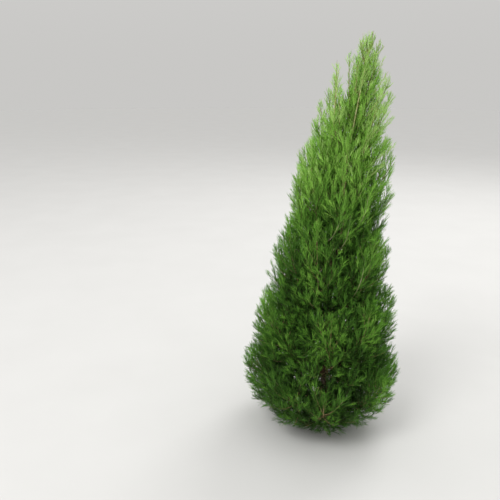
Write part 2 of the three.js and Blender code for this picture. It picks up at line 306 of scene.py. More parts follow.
def make_tier(tier, level):
    """The plumes of one tier, spaced evenly round the trunk with some chance in turn, height and reach"""
    random = seeded(SEED + TIER_SEEDS * level)
    made = []
    for k in range(tier["count"]):
        turn = math.radians(tier["phase"] + 360 * k / tier["count"]) + either_way(random, TURN_JITTER)
        tip = tier["tip"] + either_way(random, TIP_JITTER)
        inset = tier["inset"] + either_way(random, INSET_JITTER)
        foot = tier["foot"] + tier["climb"] * ((3 * k) % tier["count"]) / tier["count"]
        out = float(crown_radius(tip, turn)) * inset
        own = dict(tier, name=f"{tier['name']}_{k + 1}", turn=turn, tip=tip, foot=foot, out=out)
        made.append(make_plume(own, SEED + TIER_SEEDS * level + k + 1))
    return made


def make_leader():
    """The leader carries on from the trunk's top, in the direction that the trunk has there"""
    start = trunk_point(TRUNK_TOP)
    slope = LEAN * LEAN_BEND / HEIGHT * (TRUNK_TOP / HEIGHT) ** (LEAN_BEND - 1)
    end = start + unit(np.array((slope, 0.0, 1.0))) * LEADER_STEM
    return Plume(start, (start + end) / 2, end, LEADER, SEED + LEADER_SEED)


plumes = [plume for level, tier in enumerate(TIERS) for plume in make_tier(tier, level)]
plumes += [make_plume(SECOND_LEADER, SEED + SECOND_LEADER_SEED),
           make_plume(RIGHT_SHOOTS, SEED + RIGHT_SHOOTS_SEED), make_leader()]
plume_numbers = {plume.name: number for number, plume in enumerate(plumes)}
plume_ends = np.array([plume.end for plume in plumes])
print("stems in all:", round(sum(plume.length for plume in plumes), 1), "m")

# %% [markdown]
# ## Room to grow
#
# Twigs compete for light, so each plume keeps to its own part of the crown. The rule measures how deep a
# point lies inside that part: not past the crown's outline, not in the trunk, not too near the ground,
# and nearer to its own stem than to any other. NumPy measures thousands of points at once, which keeps
# this quick.

# %% Room
CLEARANCE = 0.0003
NEIGHBOUR_GAP = 0.0012
LIMB_GAP = 0.0015
LOWEST = 0.010
AXIS_SAMPLES = 12
CHUNK = 2000

axis_points = np.array([plume.point(np.linspace(0, 1, AXIS_SAMPLES + 1)) for plume in plumes])
axis_starts = axis_points[:, :-1]
axis_steps = np.diff(axis_points, axis=1)


def distances_to_stems(points):
    """From each point to every plume's stem, as rows and columns, a few thousand points at a time"""
    rows = []
    for first in range(0, len(points), CHUNK):
        away = points[first:first + CHUNK, None, None, :] - axis_starts
        share = np.sum(away * axis_steps, axis=-1) / np.sum(axis_steps**2, axis=-1)
        away = away - np.clip(share, 0, 1)[..., None] * axis_steps
        rows.append(np.sqrt(np.sum(away**2, axis=-1)).min(axis=-1))
    return np.concatenate(rows)


def depth_in_crown(points):
    """How far points lie inside the crown's outline, measured level with the ground"""
    across = points - trunk_point(points[:, 2])
    turn = np.arctan2(across[:, 1], across[:, 0])
    return crown_radius(points[:, 2], turn) - np.hypot(across[:, 0], across[:, 1])


def room_at(points, owners, slack, overlap=0.0):
    """How far points lie inside the space of their plumes. Overlap lets them into the next one's"""
    rows = np.arange(len(points))
    distances = distances_to_stems(points)
    own = distances[rows, owners]
    distances[rows, owners] = np.inf
    room = (distances.min(axis=1) - own) / 2 - NEIGHBOUR_GAP + overlap
    height = np.clip(points[:, 2], 0, TRUNK_TOP)
    to_trunk = np.linalg.norm(points - trunk_point(height), axis=1) - trunk_radius(height) - LIMB_GAP
    to_trunk[owners == plume_numbers["leader"]] = np.inf
    room = np.minimum(room, to_trunk)
    room = np.minimum(room, np.minimum(points[:, 2] - LOWEST, HEIGHT - points[:, 2]))
    return np.minimum(room, depth_in_crown(points) + slack)


# %% [markdown]
# ## Twigs
#
# Twigs leave each stem in a golden spiral, wide apart low on the stem and close to it near the tip. A
# twig that would leave its plume's space is tried shorter and at other angles. These are the very twigs
# of the solids, so the finished tree reaches about as far as they do.

# %% Twigs of the rule
CORE_SHARE = 0.7
CORE_LARGEST = 0.084
CORE_SWELLS = ((0.12, 0.5), (0.34, 1), (0.66, 0.85), (0.9, 0.3))
CORE_FOOT = 0.04
STEM_TIP_RADIUS = 0.0016
TWIG_SUNK = 0.35
TWIGS_START, TWIGS_END = 0.04, 0.84
TWIG_LONGEST, TWIG_SHRINK = 0.205, 0.6
TWIG_SIZES = (1, 0.86, 0.74, 0.62, 0.5)
SPREAD_FIRST, SPREAD_LAST = math.radians(66), math.radians(32)
SPREAD_TRIES = (1, 0.75, 1.2)
TURN_CHANCE, ROLL = 0.5, 0.7
OUTLINE_SLACK = 0.014
SPIRE_LENGTH, SPIRE_ROOT = 0.118, 0.03
TWIG_RIM = np.array(((0.6, -1), (0.54, -0.52), (0.85, -0.56), (1, 0), (0.6, 1), (0.54, 0.52),
                     (0.85, 0.56)))
TWIG_RIB, TWIG_WIDTH, TWIG_THICKNESS = 0.46, 0.43, 0.12


def stem_start(plume):
    """Where the stem begins: past its bough, past the trunk's top, or inside the trunk"""
    return plume.bough + CLEARANCE / plume.length if plume.bough > 0 or plume.name == "leader" else 0.0


def core_stations(plume, owner):
    """Shares of the stem and the core's radius there, which decide how far out a twig is rooted"""
    foot = plume.stem_radius
    shares = np.array([share for share, swell in CORE_SWELLS])
    swells = np.array([swell for share, swell in CORE_SWELLS])
    points = plume.point(blend(stem_start(plume), 1, shares))
    room = np.maximum(room_at(points, np.full(len(points), owner), 0), 0)
    cores = np.maximum(np.minimum(CORE_SHARE * room, CORE_LARGEST) * swells,
                       blend(foot, STEM_TIP_RADIUS, shares))
    return [0, CORE_FOOT, *shares, 1], [foot, foot, *cores, STEM_TIP_RADIUS]


def fits(plume, owner, root, heading, flat, length, slack):
    """Whether a twig's whole spray, tip, teeth and rib, lies in the plume's space"""
    across = unit(np.cross(heading, flat))
    rim = root + heading * TWIG_RIM[:, :1] * length + across * TWIG_RIM[:, 1:] * length * TWIG_WIDTH / 2
    rib = root + heading * TWIG_RIB * length
    thick = flat * length * TWIG_THICKNESS / 2
    points = np.vstack([rim, rib + thick, rib - thick])
    return bool(np.all(room_at(points, np.full(len(points), owner), slack) > 0))


def fitting_twig(plume, owner, root, tangent, sideways, spread, length, roll):
    """The way from a twig's root to its tip, for the first size and spread that fit, or None"""
    for size in TWIG_SIZES:
        for share in SPREAD_TRIES:
            heading = tangent * math.cos(spread * share) + sideways * math.sin(spread * share)
            heading = unit(heading + UP * plume.lift)
            facing = unit(sideways - heading * np.dot(sideways, heading))
            flat = turned(facing, heading, roll)
            if fits(plume, owner, root, heading, flat, length * size, OUTLINE_SLACK):
                return heading * length * size
    return None


def grow_twigs(plume, owner):
    """The share of the plume's curve where each twig leaves it, and the twig's tip"""
    random = seeded(plume.seed)
    places, radii = core_stations(plume, owner)
    start = stem_start(plume)
    rows = []
    for k in range(plume.twigs):
        along = (k + 0.5) / plume.twigs
        place = blend(TWIGS_START, TWIGS_END, along)
        share = blend(start, 1, place)
        tangent = plume.heading(share)
        sideways = square_to(tangent, k * GOLDEN_ANGLE + plume.seed + random() * TURN_CHANCE)
        roll = either_way(random, ROLL)
        root = plume.point(share) + sideways * TWIG_SUNK * np.interp(place, places, radii)
        spread = blend(SPREAD_FIRST, SPREAD_LAST, along)
        length = TWIG_LONGEST * blend(1, TWIG_SHRINK, along)
        reach = fitting_twig(plume, owner, root, tangent, sideways, spread, length, roll)
        if reach is not None:
            rows.append((share, root + reach))
    return rows


twigs = [grow_twigs(plume, owner) for owner, plume in enumerate(plumes)]
print("twigs:", sum(len(rows) for rows in twigs))

# %% [markdown]
# ## From twigs to shoots
#
# On the living tree a twig forks and forks again, and only the last shoots are green. We go two steps
# further than the solids. Each twig becomes a thin branch that leaves the stem low and sweeps up to its
# tip, and it carries side shoots that sweep up more steeply still. That upward sweep is what makes the
# plumes look like flames. Branches are kept as rows of points with a radius at each, ready to be given a
# round section.

# %% Paths that sweep upwards
rng = np.random.default_rng(SEED)
SHOOT_POINTS = 5
SHOOT_SAG = 0.18
SHOOT_GAP = 0.026
SHOOTS_FROM, SHOOTS_TO = 0.18, 0.9
SHOOT_LONGEST, SHOOT_SHORTEST = 0.120, 0.045
SHOOT_SHARE, SHOOT_FULL, SHOOT_FADE, SHOOT_CHANCE = 0.7, 1.1, 0.6, (0.8, 1.1)
SHOOT_SPREAD_FIRST, SHOOT_SPREAD_LAST = math.radians(40), math.radians(20)
SHOOT_LIFT = 0.7
SHOOT_TRIES = 4
SHOOT_SHORTER = 0.7
SHOOT_OVERLAP = 0.05


def swept(root, tip, sag, count):
    """Points from root to tip that start out low and bend up"""
    bend = (root + tip) / 2 - UP * sag * np.linalg.norm(tip - root)
    return on_curve(np.linspace(0, 1, count), root, bend, tip)


def path_at(points, shares):
    """Places and headings at shares of a path's length"""
    steps = np.linalg.norm(np.diff(points, axis=0), axis=1)
    along = np.concatenate([[0], np.cumsum(steps)])
    along /= along[-1]
    headings = unit(np.gradient(points, axis=0))
    places = np.stack([np.interp(shares, along, points[:, i]) for i in range(3)], axis=1)
    turned_to = np.stack([np.interp(shares, along, headings[:, i]) for i in range(3)], axis=1)
    return places, unit(turned_to)


def side_shoots(path, owner):
    """Shoots along a twig, longest low down and closer to it near its tip, cut short by the outline"""
    length = float(np.linalg.norm(path[-1] - path[0]))
    count = max(2, round(length / SHOOT_GAP))
    shares = blend(SHOOTS_FROM, SHOOTS_TO, middles(count))
    places, headings = path_at(path, shares)
    sideways = square_to(headings, np.arange(count) * GOLDEN_ANGLE + rng.uniform(0, 2 * math.pi))
    spread = blend(SHOOT_SPREAD_FIRST, SHOOT_SPREAD_LAST, shares)[:, None]
    outward = unit(headings * np.cos(spread) + sideways * np.sin(spread) + UP * SHOOT_LIFT)
    reach = SHOOT_SHARE * length * (SHOOT_FULL - SHOOT_FADE * shares)
    reach = np.clip(reach, SHOOT_SHORTEST, SHOOT_LONGEST) * rng.uniform(*SHOOT_CHANCE, count)
    for _ in range(SHOOT_TRIES):
        tips = places + outward * reach[:, None]
        reach[room_at(tips, np.full(count, owner), 0, SHOOT_OVERLAP) < 0] *= SHOOT_SHORTER
    return shares, [swept(place, place + way * far, SHOOT_SAG, SHOOT_POINTS)
                    for place, way, far in zip(places, outward, reach)]


# %% Twigs of the trunk
TRUNK_TWIGS = 110
TRUNK_TWIGS_FROM, TRUNK_TWIGS_TO = 0.13, 1.69
TRUNK_TWIG_SHARES = (0.66, 0.5)
TRUNK_TWIG_PLACES, TRUNK_TWIG_RISES = (0, 0.3, 1), (0.5, 0.9, 2.6)
TRUNK_TWIG_DEPTH = 0.02


def trunk_twigs():
    """Twigs of the trunk itself, which darken the inside of the crown"""
    place = np.linspace(0, 1, TRUNK_TWIGS)
    heights = blend(TRUNK_TWIGS_FROM, TRUNK_TWIGS_TO, place)
    turn = np.arange(TRUNK_TWIGS) * GOLDEN_ANGLE
    reach = crown_radius(heights, turn) * blend(*TRUNK_TWIG_SHARES, place)
    rise = np.interp(place, TRUNK_TWIG_PLACES, TRUNK_TWIG_RISES)
    roots = trunk_point(heights)
    ways = (outward_at(turn) + UP * rise[:, None]) * reach[:, None]
    for _ in range(SHOOT_TRIES):
        outside = depth_in_crown(roots + ways) < TRUNK_TWIG_DEPTH
        ways[outside] *= SHOOT_SHORTER
    return list(zip(roots, roots + ways))


# %% [markdown]
# ## Loose shoots and pale stems
#
# Two things break the even outline of this tree. On its right side and round the leader stand long loose
# shoots, or whips, pale and slender, with open sky between them. And here and there a pale stem comes to
# the surface of the crown and shows bare for a few centimetres. The whips follow a rule. The pale stems
# are placed one by one, each by its root, a point that draws it outwards and its tip, where the tree
# shows them.

# %% Loose whips
WHIPS = 13
WHIP_HEIGHTS = (1.02, 1.44)
WHIP_TURNS = (math.radians(-80), math.radians(35))
WHIP_RISE, WHIP_CHANCE = 0.17, (0.85, 1.2)
WHIP_PAST = 0.012
WHIP_SAG = 0.06
WHIP_POINTS = 9
WHIP_YOUTH = (2.6, 3.4)
GOLDEN_SHARE = 0.618
CROWN_WHIPS = ((1.768, 178, 0.038), (1.738, -5, 0.038), (1.712, 265, 0.030), (1.705, 80, 0.045),
               (1.660, 196, 0.056), (1.668, -25, 0.072), (1.640, 120, 0.060))
CROWN_WHIP_LENGTH, CROWN_WHIP_SAG = 0.19, 0.1
CROWN_WHIP_YOUTH = (0.9, 1.7)


def whip_paths():
    """Long shoots that leave the trunk on its right side and rise slantwise past the outline"""
    place = middles(WHIPS)
    feet = blend(*WHIP_HEIGHTS, place)
    tops = feet + WHIP_RISE * rng.uniform(*WHIP_CHANCE, WHIPS)
    turns = blend(*WHIP_TURNS, (np.arange(WHIPS) * GOLDEN_SHARE) % 1)
    tips = beside_trunk(tops, turns, crown_radius(tops, turns) + WHIP_PAST)
    return [swept(root, tip, WHIP_SAG, WHIP_POINTS) for root, tip in zip(trunk_point(feet), tips)]


def crown_whip_paths():
    """Single shoots that stand up round the leader, each from its tip's height, turn and distance"""
    tops, turns, far = np.array(CROWN_WHIPS).T
    tips = beside_trunk(tops, np.radians(turns), far)
    return [swept(root, tip, CROWN_WHIP_SAG, WHIP_POINTS)
            for root, tip in zip(trunk_point(tops - CROWN_WHIP_LENGTH), tips)]


print("whips:", WHIPS + len(CROWN_WHIPS))

# %% Pale stems
PALE_STEMS = (
    dict(root=(0.058, 0.0, 1.16), bend=(0.044, -0.170, 1.36), tip=(0.122, -0.045, 1.67), size=1.0,
         bare=(1.40, 1.54)),
    dict(root=(-0.005, 0.0, 1.22), bend=(-0.018, -0.115, 1.40), tip=(0.010, -0.020, 1.625), size=1.0,
         bare=(1.46, 1.55)),
    dict(root=(0.085, -0.16, 0.68), bend=(0.104, -0.304, 0.786), tip=(0.135, -0.16, 0.88), size=0.75,
         bare=(0.747, 0.80)),
    dict(root=(0.028, -0.15, 0.90), bend=(0.047, -0.276, 0.97), tip=(0.062, -0.17, 1.06), size=0.7,
         bare=(0.952, 0.999)),
    dict(root=(0.088, -0.13, 0.97), bend=(0.1145, -0.256, 1.055), tip=(0.135, -0.15, 1.14), size=0.7,
         bare=(1.037, 1.073)),
    dict(root=(-0.025, -0.14, 0.93), bend=(0.001, -0.283, 0.998), tip=(0.035, -0.15, 1.09), size=0.7,
         bare=(0.981, 1.027)),
)
PALE_STEM_POINTS = 14
PALE_STEM_RADII = (0.0027, 0.0009)
PALE_STEM_YOUTH = (0.5, 1.5)

for stem in PALE_STEMS:
    root, bend, tip = (np.array(stem[point]) for point in ("root", "bend", "tip"))
    stem["path"] = on_curve(np.linspace(0, 1, PALE_STEM_POINTS), root, bend, tip)
print("pale stems:", len(PALE_STEMS))

# %% All branches
STEM_POINTS, TWIG_POINTS = 26, 8
TWIG_SAG = 0.2
TWIG_RADII = (0.0021, 0.0007)
SHOOT_RADII = (0.0011, 0.0005)
SPIRE_SHARE = 0.62
STEM_YOUTH, TWIG_YOUTH, SHOOT_YOUTH = 0.35, 0.35, 0.3


@dataclass
class Branch:
    """A path with a radius at each end. Youth is 0 on old wood, 1 on new, more on the palest shoots"""
    kind: str
    owner: int
    path: np.ndarray
    root_radius: float
    tip_radius: float
    youth: tuple

    def radii(self):
        return blend(self.root_radius, self.tip_radius, np.linspace(0, 1, len(self.path)))


def twig_with_shoots(owner, root, tip, youth):
    """A twig from root to tip, as old at its root as the wood there, and the shoots along it"""
    twig = Branch("twig", owner, swept(root, tip, TWIG_SAG, TWIG_POINTS), *TWIG_RADII,
                  (youth, youth + TWIG_YOUTH))
    shares, shoots = side_shoots(twig.path, owner)
    ages = blend(*twig.youth, shares)
    return [twig] + [Branch("shoot", owner, shoot, *SHOOT_RADII, (age, age + SHOOT_YOUTH))
                     for shoot, age in zip(shoots, ages)]


def branches_of(owner, plume):
    """The plume's stem, its twigs with their shoots, and the spire that carries it on past its tip"""
    shares = np.linspace(stem_start(plume), 1, STEM_POINTS)
    tip_youth = STEM_YOUTH + TWIG_YOUTH
    made = [Branch("stem", owner, plume.point(shares), plume.stem_radius, STEM_TIP_RADIUS, (0, tip_youth))]
    for share, tip in twigs[owner]:
        made += twig_with_shoots(owner, plume.point(share), tip, STEM_YOUTH * share)
    reach = plume.heading(1.0) * (SPIRE_LENGTH - SPIRE_ROOT) * SPIRE_SHARE
    made.append(Branch("spire", owner, swept(plume.end, plume.end + reach, 0, SHOOT_POINTS),
                       STEM_TIP_RADIUS, SHOOT_RADII[1], (tip_youth, 1)))
    return made


def owner_at(point):
    """The plume whose stem lies nearest"""
    return int(np.argmin(distances_to_stems(point[None])[0]))


branches = [branch for owner, plume in enumerate(plumes) for branch in branches_of(owner, plume)]
for root, tip in trunk_twigs():
    branches += twig_with_shoots(owner_at(tip), root, tip, 0)
for path in whip_paths():
    branches.append(Branch("whip", plume_numbers["right_shoots"], path, *TWIG_RADII, WHIP_YOUTH))
for stem in PALE_STEMS:
    radii = [stem["size"] * radius for radius in PALE_STEM_RADII]
    owner = owner_at(stem["path"][-1])
    branches.append(Branch("pale_stem", owner, stem["path"], *radii, PALE_STEM_YOUTH))
for path in crown_whip_paths():
    branches.append(Branch("whip", plume_numbers["leader"], path, *SHOOT_RADII, CROWN_WHIP_YOUTH))
print("branches so far:", len(branches))

# %% [markdown]
# ## Shoots that find the gaps
#
# Light reaches every gap in the crown's surface, and a shoot soon grows into it. That is why the outside
# of a juniper is closed all over, and parted only by dark grooves into flames of foliage, a hand or two
# long. We scatter points in shells of the crown, the inner ones first, and push them deeper in the
# grooves. We keep those that have no shoot near them yet and send a shoot to each from the wood below.
# The notch between the second leader and the leader stays open to the sky, and so does the space round
# the loose whips.

# %% Gaps in the shells of the crown
CANDIDATES_PER_METRE = 21000
SHELL_FOOT = 0.02
GROOVE_HEIGHTS, GROOVE_DEPTHS = (0.7, 1.2), (0.065, 0.03)
GROOVE_WIDTH = 0.03
REACH_HEIGHTS, STEM_REACHES = (1.25, 1.42, 1.75), (0.2, 0.052, 0.036)
THINNING_HEIGHTS, THINNING = (1.45, 1.70), (1.0, 0.4)
NOTCH_HEIGHTS, NOTCH_SIDES = (1.50, 1.70), (0.018, 0.040)
WHIP_CLEARANCE = 0.036
BULGE, BULGE_WIDTH = 0.035, 0.08
SHELLS = (
    dict(deepest=0.300, shallowest=0.160, spacing=0.070, top=0.5),
    dict(deepest=0.160, shallowest=0.070, spacing=0.044, top=0.5),
    dict(deepest=0.160, shallowest=0.080, spacing=0.052, top=1.5),
    dict(deepest=0.060, shallowest=0.002, spacing=0.029, top=1.74),
)
FLAME_TRIES, FLAME_SPACING = 3000, 0.13
FLAME_FROM, FLAME_TO = 0.18, 1.50
FLAME_BELOW, FLAME_ABOVE = 0.35, 1.6
FLAME_EDGE, FLAME_DEPTH = 0.022, 0.024
MOST_INWARD = 0.9
LINE_SAMPLES = 60
second_leader_line = plumes[plume_numbers["second_leader"]].point(np.linspace(0, 1, LINE_SAMPLES))
bulges = rng.uniform(0, BULGE, len(plumes))
whip_points = np.vstack([branch.path for branch in branches if branch.kind == "whip"])


def bulge_at(points):
    """How far the foliage swells past the outline near the tips of the plumes"""
    away = np.linalg.norm(points[:, None] - plume_ends, axis=2)
    return (bulges * np.exp(-(away / BULGE_WIDTH) ** 2)).max(axis=1)


def with_space_around(points, spacing, taken):
    """Which points keep their distance from those taken and from each other, in the order given"""
    cells = {}
    around = [(x, y, z) for x in (-1, 0, 1) for y in (-1, 0, 1) for z in (-1, 0, 1)]

    def place(point):
        x, y, z = (math.floor(value / spacing) for value in point)
        near = [other for i, j, k in around for other in cells.get((x + i, y + j, z + k), ())]
        free = all(math.dist(point, other) >= spacing for other in near)
        if free:
            cells.setdefault((x, y, z), []).append(point)
        return free

    for point in taken.tolist():
        place(point)
    return np.array([place(point) for point in points.tolist()])


def in_notch(points):
    """Whether points lie in the notch, open to the sky, between the second leader and the leader"""
    left = np.interp(points[:, 2], second_leader_line[:, 2], second_leader_line[:, 0]) + NOTCH_SIDES[0]
    right = trunk_point(points[:, 2])[:, 0] - NOTCH_SIDES[1]
    high = (points[:, 2] > NOTCH_HEIGHTS[0]) & (points[:, 2] < NOTCH_HEIGHTS[1])
    return high & (points[:, 0] > left) & (points[:, 0] < right)


def make_flame_tips():
    """Tips of the flames that the surface parts into: those of the plumes, and more between them"""
    heights = rng.uniform(FLAME_FROM, FLAME_TO, FLAME_TRIES)
    turns = rng.uniform(0, 2 * math.pi, FLAME_TRIES)
    tips = beside_trunk(heights, turns, crown_radius(heights, turns))
    return np.vstack([plume_ends, tips[with_space_around(tips, FLAME_SPACING, plume_ends)]])


flame_tips = make_flame_tips()


def nearest_flame(points):
    """Each point's flame, how far its tip is, and 1 in the groove to the next flame, fading to 0"""
    away = points[:, None] - flame_tips
    drop = away[..., 2] * np.where(away[..., 2] < 0, FLAME_BELOW, FLAME_ABOVE)
    distances = np.hypot(np.linalg.norm(away[..., :2], axis=2), drop)
    first, second = np.sort(distances, axis=1)[:, :2].T
    return np.argmin(distances, axis=1), first, np.exp(-(second - first) / FLAME_EDGE)


def grooves_at(points):
    """How near each point is to its closest stem, and 1 where two plumes meet, fading to 0"""
    nearest = np.sort(distances_to_stems(points), axis=1)
    return nearest[:, 0], np.exp(-(nearest[:, 1] - nearest[:, 0]) / GROOVE_WIDTH)


def shell_points(deepest, shallowest, top):
    """Points spread evenly over a shell of the crown, deeper in the grooves, and the way out at each"""
    count = round(CANDIDATES_PER_METRE * (top - SHELL_FOOT))
    heights = rng.uniform(SHELL_FOOT, top, count)
    turns = rng.uniform(0, 2 * math.pi, count)
    radii = crown_radius(heights, turns)
    wanted = rng.uniform(0, max(CROWN_RADII), count) < radii
    heights, turns, radii = heights[wanted], turns[wanted], radii[wanted]
    inward = rng.uniform(shallowest, deepest, len(radii))
    points = beside_trunk(heights, turns, radii - inward)
    to_stem, groove = grooves_at(points)
    groove = np.interp(heights, GROOVE_HEIGHTS, GROOVE_DEPTHS) * groove
    inward = inward + groove + FLAME_DEPTH * nearest_flame(points)[2] - bulge_at(points)
    inside = (inward < MOST_INWARD * radii) & (to_stem < np.interp(heights, REACH_HEIGHTS, STEM_REACHES))
    return beside_trunk(heights, turns, radii - inward)[inside], outward_at(turns)[inside]


def find_gaps(shell, taken):
    """Gaps of one shell and the way out of the crown at each"""
    points, outward = shell_points(shell["deepest"], shell["shallowest"], shell["top"])
    kept = with_space_around(points, shell["spacing"], taken)
    kept &= rng.uniform(0, 1, len(points)) < np.interp(points[:, 2], THINNING_HEIGHTS, THINNING)
    to_whips = np.linalg.norm(points[:, None] - whip_points, axis=2).min(axis=1)
    kept &= ~in_notch(points) & (to_whips > WHIP_CLEARANCE)
    return points[kept], outward[kept]


print("flames:", len(flame_tips))

# %% A shoot into each gap
OUTWARD_HEIGHTS, OUTWARD_LEANS = (0, 0.3, 1.0, 1.78), (1.6, 1.0, 0.5, 0.2)
FLAME_PULL = 6.0
GAP_WANDER = 0.22
GAP_REACH = 0.09
GAP_CHOICES = 10
LOWEST_CLIMB, LEAST_CLIMB = 0.22, 0.3
GAP_BEND = 0.55
LATE_YOUTH = (0.45, 1.0)
BRANCH_KINDS = ("stem", "twig", "whip", "pale_stem", "shoot", "late_shoot", "spire")


def wood_tree():
    """The points of all stems and twigs, in a tree that finds the nearest quickly"""
    wood_points = [(point, branch.owner) for branch in branches if branch.kind in ("stem", "twig")
                   for point in branch.path[1:]]
    tree = KDTree(len(wood_points))
    for number, (point, owner) in enumerate(wood_points):
        tree.insert(point, number)
    tree.balance()
    return wood_points, tree


def shoots_into(gaps, outward, wood_points, tree):
    """Each gap's shoot sweeps up from the wood that lies best behind and below it"""
    lean = np.interp(gaps[:, 2], OUTWARD_HEIGHTS, OUTWARD_LEANS)[:, None]
    to_flame = (flame_tips[nearest_flame(gaps)[0]] - gaps) * (1, 1, 0)
    headings = unit(UP + outward * lean + to_flame * FLAME_PULL + rng.normal(0, GAP_WANDER, gaps.shape))
    made = []
    for tip, heading in zip(gaps, headings):
        found = [wood_points[number] for place, number, far in
                 tree.find_n((tip - heading * GAP_REACH).tolist(), GAP_CHOICES)]
        below = [(root, owner) for root, owner in found
                 if tip[2] < LOWEST_CLIMB or tip[2] - root[2] > LEAST_CLIMB * np.linalg.norm(tip - root)]
        root, owner = (below or found)[0]
        bend = tip - heading * GAP_BEND * np.linalg.norm(tip - root)
        path = on_curve(np.linspace(0, 1, SHOOT_POINTS), root, bend, tip)
        made.append(Branch("late_shoot", owner, path, *SHOOT_RADII, LATE_YOUTH))
    return made


wood_points, tree = wood_tree()
for shell in SHELLS:
    taken = np.array([branch.path[-1] for branch in branches if branch.kind in ("shoot", "late_shoot")])
    gaps, outward = find_gaps(shell, taken)
    branches += shoots_into(gaps, outward, wood_points, tree)
    print("gaps in a shell:", len(gaps))
branches = [branch for branch in branches
            if branch.kind not in ("twig", "shoot", "late_shoot") or not in_notch(branch.path[-1:])[0]]
print({kind: sum(branch.kind == kind for branch in branches) for kind in BRANCH_KINDS})

# %% [markdown]
# ## Where the sprigs go
#
# The green of a juniper is in its last branchlets, a few centimetres long and set closely with needles.
# We call one of them a sprig and place thousands, in a golden spiral along every branch with one more at
# each tip. A sprig that would reach out of the crown is made smaller or left out, and so is one that
# would hide a stretch of stem that shows bare from where the viewer stands. What we keep of each is only
# a row of numbers: its root, its heading, its size, its age and the plume it belongs to. Geometry Nodes
# will turn the rows into leaves.

# %% Sprigs along the branches
SPRIG_LENGTH = 0.051
SPRIGS_ON = {
    "stem": dict(first=0.25, gap=0.030, lift=0.5),
    "twig": dict(first=0.25, gap=0.022, lift=0.5),
    "whip": dict(first=0.35, gap=0.011, lift=0.1),
    "pale_stem": dict(first=0.2, gap=0.011, lift=0.2),
    "shoot": dict(first=0.12, gap=0.026, lift=0.5),
    "late_shoot": dict(first=0.42, gap=0.0138, lift=0.12),
    "spire": dict(first=0.0, gap=0.008, lift=0.2),
}
SPRIG_SPREAD = (math.radians(34), math.radians(16))
SPRIG_SIZES, SPRIG_SIZE_CHANCE = (1.15, 0.75), (0.88, 1.12)
SPRIG_SLACK = (0.022, -0.018)
SLACK_HEIGHTS = (1.50, 1.78)
PAST_THE_BOX = 0.020
STEM_SLEEVE = 0.045
SPRIG_OVERLAP = 0.05
SPRIG_TRIES = 3
SPRIG_SMALLER = 0.78
SPRIG_LOWEST = 0.028
WHIP_SPRIG_SIZE = 0.8
FINER_HEIGHTS, FINER_SIZES = (1.2, 1.6, 1.78), (1.0, 0.80, 0.60)
BARE_TRUNK, BARE_TRUNK_WIDTH, BARE_STEM_WIDTH = (0.18, 0.27), 0.030, 0.014
TRUNK_LINE_SAMPLES = 9
ROOT, HEADING, SIZE, YOUTH, OWNER = slice(0, 3), slice(3, 6), 6, 7, 8


def sprigs_along(branch):
    """Rows of root, heading, size, youth and owner: a spiral of sprigs, and one at the branch's tip"""
    first, gap, lift = SPRIGS_ON[branch.kind].values()
    count = max(1, round(length_of(branch.path) * (1 - first) / gap))
    shares = np.append(blend(first, 1, middles(count)), 1)
    places, headings = path_at(branch.path, shares)
    sideways = square_to(headings, np.arange(count + 1) * GOLDEN_ANGLE + rng.uniform(0, 2 * math.pi))
    spread = blend(*SPRIG_SPREAD, shares)[:, None]
    outward = unit(headings * np.cos(spread) + sideways * np.sin(spread) + UP * lift)
    outward[-1] = headings[-1]
    sizes = blend(*SPRIG_SIZES, shares) * rng.uniform(*SPRIG_SIZE_CHANCE, count + 1)
    sizes *= np.interp(places[:, 2], FINER_HEIGHTS, FINER_SIZES)
    if branch.kind == "whip":
        sizes *= WHIP_SPRIG_SIZE
    return np.column_stack([places, outward, sizes, blend(*branch.youth, shares),
                            np.full(count + 1, branch.owner)])


def tips_of(rows):
    return rows[:, ROOT] + rows[:, HEADING] * rows[:, SIZE:SIZE + 1] * SPRIG_LENGTH


def room_of(rows):
    """Room at the tips. The outline swells at the plumes, and sprigs close to their stem may pass it"""
    tips = tips_of(rows)
    owners = rows[:, OWNER].astype(int)
    slack = np.interp(tips[:, 2], SLACK_HEIGHTS, SPRIG_SLACK) + bulge_at(tips)
    room = np.minimum(room_at(tips, owners, SPRIG_SLACK[0] + BULGE, SPRIG_OVERLAP),
                      depth_in_crown(tips) + slack)
    to_own_stem = distances_to_stems(tips)[np.arange(len(tips)), owners]
    room = np.minimum(np.maximum(room, STEM_SLEEVE - to_own_stem),
                      np.minimum(tips[:, 2], rows[:, 2]) - SPRIG_LOWEST)
    in_box = np.minimum(tips - np.array(cad_box[0]), np.array(cad_box[1]) - tips)[:, :2].min(axis=1)
    return np.minimum(room, in_box + PAST_THE_BOX)


bare_stretches = [(stem["path"], stem["bare"], BARE_STEM_WIDTH) for stem in PALE_STEMS]
bare_stretches.append((trunk_point(np.linspace(0, 1, TRUNK_LINE_SAMPLES)), BARE_TRUNK, BARE_TRUNK_WIDTH))


def hides_bare_stem(points):
    """Whether points lie in front of a bare stretch of stem, as seen by the viewer"""
    hiding = np.zeros(len(points), bool)
    for line, (low, high), width in bare_stretches:
        behind = np.interp(points[:, 2], line[:, 2], line[:, 1])
        share = (behind - EYE[1]) / (points[:, 1] - EYE[1])
        seen = EYE + (points - EYE) * share[:, None]
        offset = np.abs(seen[:, 0] - np.interp(seen[:, 2], line[:, 2], line[:, 0]))
        hiding |= (seen[:, 2] > low) & (seen[:, 2] < high) & (offset < width / 2) & (share > 1)
    return hiding


candidates = np.vstack([sprigs_along(branch) for branch in branches])
room = room_of(candidates)
for _ in range(SPRIG_TRIES):
    tight = room < 0
    candidates[tight, SIZE] *= SPRIG_SMALLER
    room[tight] = room_of(candidates[tight])
roots, tips = candidates[:, ROOT], tips_of(candidates)
hiding = hides_bare_stem(roots) | hides_bare_stem((roots + tips) / 2) | hides_bare_stem(tips)
sprigs = candidates[(room >= 0) & ~hiding]
print("sprigs:", len(sprigs), "of", len(candidates))

